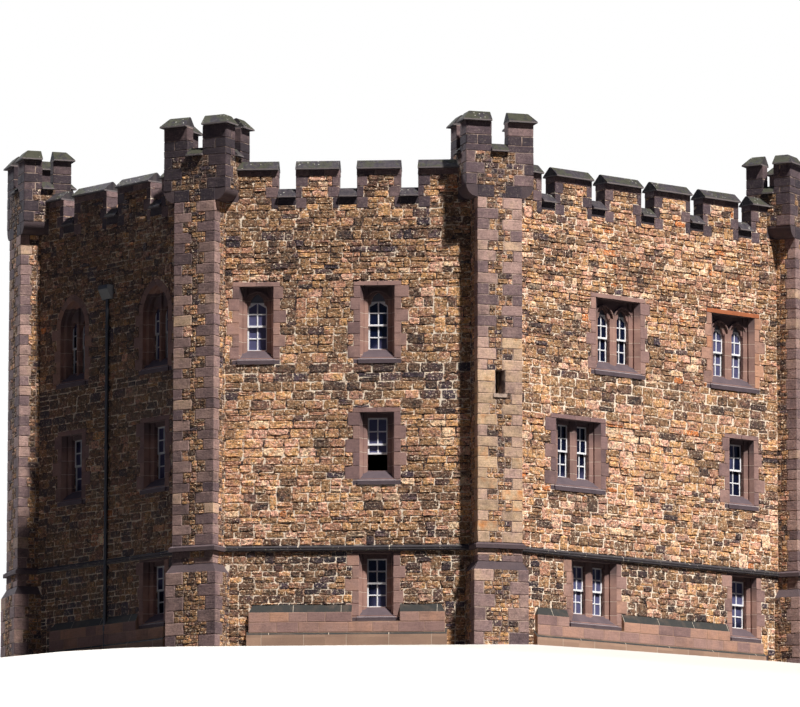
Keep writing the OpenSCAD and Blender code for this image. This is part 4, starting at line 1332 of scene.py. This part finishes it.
def lay_plinth(settings):
    """Smooth blocks in the upright faces of the plinth and its footing."""
    blocks = Laying("plinth_blocks", "dressed_stone", kit().blocks, settings, "smooth_sandstone", wear=0.004)
    rng = blocks.rng
    proud, half = 0.006, settings.fine_joint / 2
    depth = (-PLINTH_OUT - proud, -PLINTH_OUT + 0.08)
    top = PLINTH_TOP - PLINTH_SLOPE
    for k in range(8):
        place, length = wall_place(k), wall_length(k)
        boxes = [surround_box(*window) for window in WINDOWS[k % 4]]
        gaps = [box for box in boxes if box[2] < PLINTH_TOP]
        for low, high in pairwise((LEDGE_TOP + 0.01, top - PLINTH_COURSE, top)):
            for a, b, cell_low, cell_high in free_cells(PLINTH_IN, length - PLINTH_IN, low, high, gaps):
                z = (cell_low + half, cell_high - half)
                for left, right in pairwise(lengths_between(a, b, (0.45, 0.85), rng)):
                    blocks.block(place, (left + half, right - half), depth, z, rng.uniform(0.45, 0.82),
                                 rng.uniform(0.0, 0.3))
    blocks.build()


def lay_window_blocks(settings):
    """Jamb blocks, lintels and arch stones round every window."""
    blocks = Laying("window_blocks", "dressed_stone", kit().blocks, settings, "smooth_sandstone", wear=0.005)
    rng = blocks.rng
    half, gap = settings.fine_joint / 2, 0.004
    depth = (-settings.ashlar_proud, 0.06)
    for k in range(8):
        place = wall_place(k)
        for index, (storey, middle, kind) in enumerate(WINDOWS[k % 4]):
            orange = (k, index) == ORANGE_LINTEL
            tone = 0.82 if orange else rng.uniform(0.50, 0.68) - 0.14 * (storey == FIRST)
            lintel_tone = 1.1 if orange else tone
            edge = OPENING_WIDTH[kind] / 2
            for course, (low, high) in enumerate(pairwise(jamb_courses(storey, kind))):
                z = (low + half, high - half)
                for side in (-1, 1):
                    reach = JAMB + long_jamb(k, index, course, side)
                    xs = sorted((middle + side * (edge + gap), middle + side * (edge + reach)))
                    xs = (xs[0] + half * (side < 0), xs[1] - half * (side > 0))
                    blocks.block(place, xs, depth, z, tone + rng.uniform(-0.15, 0.12), rng.uniform(0, 0.45))
            if kind == ARCHED:
                lay_arch(blocks, place, middle, tone)
            elif storey != GROUND:
                ends = (middle - edge - JAMB, middle + edge + JAMB)
                z = (HEAD_Z[storey] + gap, HEAD_Z[storey] + LINTEL)
                for a, b in pairwise(ends if orange else lengths_between(*ends, (0.7, 1.2), rng)):
                    blocks.block(place, (a + half, b - half), depth, z,
                                 lintel_tone + rng.uniform(-0.05, 0.05), rng.uniform(0, 0.25))
    blocks.build()


def lay_arch(blocks, place, middle, tone):
    """Wedge stones round a pointed head."""
    proud, rng = blocks.settings.ashlar_proud, blocks.rng
    width = OPENING_WIDTH[ARCHED]
    radius = arch_radius(width, ARCH_RISE)
    sweep = math.asin(ARCH_RISE / radius)
    mid_radius = radius + JAMB / 2
    count = 4
    size = (JAMB - 0.01, proud + 0.06, mid_radius * sweep / count - blocks.settings.fine_joint)
    for side in (-1, 1):
        for i in range(count):
            angle = sweep * (i + 0.5) / count
            x = side * (width / 2 - radius + mid_radius * math.cos(angle))
            z = ARCH_Z + mid_radius * math.sin(angle)
            blocks.add(place, (middle + x, 0.03 - proud / 2, z), size, (0.0, -side * angle),
                       tone + rng.uniform(-0.15, 0.1), rng.uniform(0.1, 0.5))


def lights_of(kind):
    return [0.0] if kind == SINGLE else [-LIGHT_PITCH[kind] / 2, LIGHT_PITCH[kind] / 2]


def glass_top(storey, kind):
    """Top of the glass of a light, at its middle."""
    if kind == ARCHED:
        return ARCH_Z + LIGHT_RISE + SASH_LAP - STILE
    if storey == SECOND:
        return HEAD_Z[storey] - GLASS_DROP
    return HEAD_Z[storey] - LIGHT_DROP + SASH_LAP - STILE


def lay_glazing_bars(settings):
    """Upright and level bars of every sash."""
    bars = Laying("glazing_bars", "white_paint", kit().bars, settings, "white_paint")
    width, depth = 0.040, 0.030
    for k in range(8):
        place = wall_place(k)
        for storey, middle, kind in WINDOWS[k % 4]:
            raised = RAISED if (k, storey) == (0, FIRST) else 0.0
            bottom = SILL_Z[storey] + SILL_RISE - SASH_LAP
            top = glass_top(storey, kind)
            meeting = (bottom + top + STILE) / 2
            sashes = ((meeting + STILE / 2, top, STONE_DEPTH),
                      (bottom + STILE + raised, meeting - STILE / 2 + raised, STONE_DEPTH + SASH_DEPTH))
            across = LIGHT_WIDTH[kind] + 2 * SASH_LAP - 2 * STILE
            for x in lights_of(kind):
                for low, high, face in sashes:
                    y = (face + 0.004, face + 0.004 + depth)
                    bars.block(place, (middle + x - width / 2, middle + x + width / 2), y, (low, high))
                    centre = (middle + x, sum(y) / 2, (low + high) / 2)
                    bars.add(place, centre, (width, depth, across), (0.0, math.pi / 2))
    bars.build()


def lay_roof(settings):
    """Lead rolls across the roof and an upstand of lead along the parapets."""
    rolls = Laying("lead_rolls", "roof_lead", kit().rolls, settings, "sheet_lead")
    corners = [wall_place(k).at(PARAPET * MITRE, PARAPET, 0).to_2d() for k in range(8)]
    pitch, width, height = 0.72, 0.060, 0.050
    x = min(corner.x for corner in corners) + pitch * 0.6
    while x < max(corner.x for corner in corners) - 0.2:
        crossings = []
        for a, b in zip(corners, corners[1:] + corners[:1]):
            if (a.x - x) * (b.x - x) < 0:
                crossings.append(a.y + (b.y - a.y) * (x - a.x) / (b.x - a.x))
        if len(crossings) == 2:
            low, high = sorted(crossings)
            spot = Place((x, (low + high) / 2), 0.0)
            rolls.add(spot, (0.0, 0.0, ROOF_TOP), (width, height, high - low - 0.12), (math.pi / 2, 0.0))
        x += pitch
    rolls.build()
    upstand = Laying("lead_upstands", "roof_lead", kit().blocks, settings, "sheet_lead")
    depth, height = (PARAPET - 0.02, PARAPET + 0.035), (ROOF_TOP - 0.02, ROOF_TOP + UPSTAND)
    foot = clear_of(0.0, PARAPET)
    for k in range(8):
        place, length = wall_place(k), wall_length(k)
        for a, b in pairwise(lengths_between(foot + 0.02, length - foot - 0.02, (1.5, 2.0), upstand.rng)):
            upstand.block(place, (a, b + 0.04), depth, height)
    upstand.build()


# Operators
class KEEP_OT_finishes(bpy.types.Operator):
    """Gives every part of the keep's frame its material"""
    bl_idname = "keep.finishes"
    bl_label = "Finish the Masonry"

    def execute(self, context):
        for build, cad_nodes in CAD_FINISHES.items():
            for cad_node in cad_nodes:
                slots = frame["nodes"][cad_node].data.materials
                slots.clear()
                slots.append(kit().materials[build.__name__])
        return {"FINISHED"}


class KEEP_OT_wall_stones(bpy.types.Operator):
    """Lays the rubble of the eight walls"""
    bl_idname = "keep.wall_stones"
    bl_label = "Lay the Walls"

    def execute(self, context):
        for k in range(8):
            lay_wall(k, context.scene.keep_masonry)
        return {"FINISHED"}


class KEEP_OT_parapet_stones(bpy.types.Operator):
    """Lays the parapets, with the jambs of their embrasures"""
    bl_idname = "keep.parapet_stones"
    bl_label = "Lay the Parapets"

    def execute(self, context):
        for k in range(8):
            lay_parapet(k, context.scene.keep_masonry)
        return {"FINISHED"}


class KEEP_OT_corner_stones(bpy.types.Operator):
    """Lays the quoins of the buttresses and the blocks of the turrets"""
    bl_idname = "keep.corner_stones"
    bl_label = "Lay the Corners"

    def execute(self, context):
        for k in range(8):
            lay_buttress(k, context.scene.keep_masonry)
            lay_turret(k, context.scene.keep_masonry)
        return {"FINISHED"}


class KEEP_OT_dressings(bpy.types.Operator):
    """Lays the plinth's blocks and the blocks round the windows"""
    bl_idname = "keep.dressings"
    bl_label = "Dress the Windows"

    def execute(self, context):
        lay_plinth(context.scene.keep_masonry)
        lay_window_blocks(context.scene.keep_masonry)
        return {"FINISHED"}


class KEEP_OT_glazing(bpy.types.Operator):
    """Adds the glazing bars of the sashes"""
    bl_idname = "keep.glazing"
    bl_label = "Glaze the Windows"

    def execute(self, context):
        lay_glazing_bars(context.scene.keep_masonry)
        return {"FINISHED"}


class KEEP_OT_roof(bpy.types.Operator):
    """Adds the leadwork of the roof"""
    bl_idname = "keep.roof"
    bl_label = "Lead the Roof"

    def execute(self, context):
        lay_roof(context.scene.keep_masonry)
        return {"FINISHED"}


def stage_floor():
    """Level ground under the keep that falls away all round it, so that the low camera sees its top."""
    fall = math.tan(math.radians(9))
    corners = [wall_place(k).at(0.0, 0.0, 0).to_2d() for k in range(8)]
    near = [a.lerp(b, i / 6) * 1.08 for a, b in zip(corners, corners[1:] + corners[:1]) for i in range(6)]
    count = len(near)
    vertices = [(point.x, point.y, -0.002) for point in near]
    reaches = ((15.0, 0.62), (18.0, 0.68), (24.0, 0.80), (36.0, 0.92), (80.0, 1.0), (1100.0, 1.0))
    for reach, drop in reaches:
        for point in near:
            far = point.normalized() * reach
            vertices.append((far.x, far.y, -fall * drop * (far - point).length - 0.002))
    vertices.append((0.0, 0.0, -0.002))
    faces = [(i, (i + 1) % count, len(vertices) - 1) for i in range(count)]
    for ring in range(len(reaches)):
        for i in range(count):
            a, b = ring * count + i, ring * count + (i + 1) % count
            faces.append((a, a + count, b + count, b))
    floor = new_shape("floor", vertices, faces)
    for polygon in floor.data.polygons:
        polygon.use_smooth = True
    bpy.context.scene.collection.objects.link(floor)
    floor.data.materials.append(finish_material("stage_floor", pale_floor))


def pale_floor(nodes, colours):
    """Pale to the eye and in gloss, darker for the light it throws back, and white far from the keep."""
    seen = nodes.seen_by("Camera", "Glossy", "Transmission")
    near = nodes.new("ShaderNodeBsdfDiffuse", None, {"Color": srgb(196, 194, 190)})
    dim = nodes.new("ShaderNodeBsdfDiffuse", None, {"Color": srgb(72, 70, 68)})
    white = nodes.new("ShaderNodeEmission", None, {"Color": (1.0, 1.0, 1.0, 1.0), "Strength": 1.0})
    x, y, _ = nodes.split(nodes.place())
    away = nodes.step(nodes.math("SQRT", x * x + y * y), 24.0, 60.0)
    shown = nodes.new("ShaderNodeMixShader", None, {0: away, 1: near, 2: white})
    surface = nodes.new("ShaderNodeMixShader", None, {0: seen, 1: dim, 2: shown})
    nodes.new("ShaderNodeOutputMaterial", None, {"Surface": surface})


def light_the_world(scene, fill):
    """A plain sky that lights evenly, is pale blue in gloss and white behind the keep."""
    world = bpy.data.worlds.new("studio")
    scene.world = world
    world.use_nodes = True
    world.node_tree.nodes.clear()
    nodes = Nodes(world.node_tree)
    seen = nodes.seen_by("Camera", "Transmission")
    strength = nodes.seen_by("Glossy") * 0.22 + fill
    sky = nodes.new("ShaderNodeBackground", None, {"Color": srgb(178, 198, 255), "Strength": strength})
    white = nodes.new("ShaderNodeBackground", None, {"Color": (1.0, 1.0, 1.0, 1.0), "Strength": 1.0})
    mixed = nodes.new("ShaderNodeMixShader", None, {0: seen, 1: sky, 2: white})
    nodes.new("ShaderNodeOutputWorld", None, {"Surface": mixed})


def add_sun(scene, name, strength, softness, height, turn, colour):
    """A distant lamp: height is its angle above the horizon, turn its angle to the right of the front."""
    light = bpy.data.lights.new(name, "SUN")
    light.energy = strength
    light.angle = softness
    light.color = colour
    lamp = bpy.data.objects.new(name, light)
    lamp.rotation_euler = (math.pi / 2 - height, 0.0, turn)
    scene.collection.objects.link(lamp)


class KEEP_OT_stage(bpy.types.Operator):
    """Adds the floor, the light and the camera"""
    bl_idname = "keep.stage"
    bl_label = "Set the Stage"

    def execute(self, context):
        scene = context.scene
        settings = scene.keep_stage
        stage_floor()
        light_the_world(scene, settings.fill)
        add_sun(scene, "sun", settings.sun, settings.softness, settings.sun_height, settings.sun_turn,
                (1.0, 0.97, 0.93))
        add_sun(scene, "back_sun", settings.back_light, settings.back_softness, settings.back_height,
                settings.sun_turn + math.pi, (0.94, 0.97, 1.0))
        camera = bpy.data.cameras.new("camera")
        camera.lens = settings.lens
        camera.sensor_width = 36.0
        camera.sensor_fit = "HORIZONTAL"
        camera.clip_end = 3000.0
        eye = bpy.data.objects.new("camera", camera)
        eye.matrix_world = (Matrix.Translation(settings.camera)
                            @ Euler((math.pi / 2 + settings.pitch, 0.0, settings.yaw)).to_matrix().to_4x4()
                            @ Matrix.Rotation(settings.roll, 4, "Z"))
        scene.collection.objects.link(eye)
        scene.camera = eye
        scene.view_settings.view_transform = "Standard"
        return {"FINISHED"}


STEPS = (KEEP_OT_stage, KEEP_OT_finishes, KEEP_OT_wall_stones, KEEP_OT_parapet_stones, KEEP_OT_corner_stones,
         KEEP_OT_dressings, KEEP_OT_glazing, KEEP_OT_roof)


class KEEP_PT_panel(bpy.types.Panel):
    bl_label = "Castle Keep"
    bl_idname = "KEEP_PT_panel"
    bl_space_type = "VIEW_3D"
    bl_region_type = "UI"
    bl_category = "Keep"

    def draw(self, context):
        for step in STEPS:
            self.layout.operator(step.bl_idname)
        for group in (context.scene.keep_masonry, context.scene.keep_colours, context.scene.keep_stage):
            column = self.layout.column()
            for name in group.__annotations__:
                column.prop(group, name)


SETTINGS = {"keep_masonry": KeepMasonry, "keep_colours": KeepColours, "keep_stage": KeepStage}


def register():
    for cls in (*SETTINGS.values(), *STEPS, KEEP_PT_panel):
        bpy.utils.register_class(cls)
    for name, cls in SETTINGS.items():
        setattr(bpy.types.Scene, name, PointerProperty(type=cls))


def unregister():
    for name in SETTINGS:
        delattr(bpy.types.Scene, name)
    for cls in (KEEP_PT_panel, *reversed(STEPS), *SETTINGS.values()):
        bpy.utils.unregister_class(cls)


def main():
    register()
    for step in STEPS:
        module, name = step.bl_idname.split(".")
        getattr(getattr(bpy.ops, module), name)()
    clear_kit()


if __name__ == "__main__":
    main()
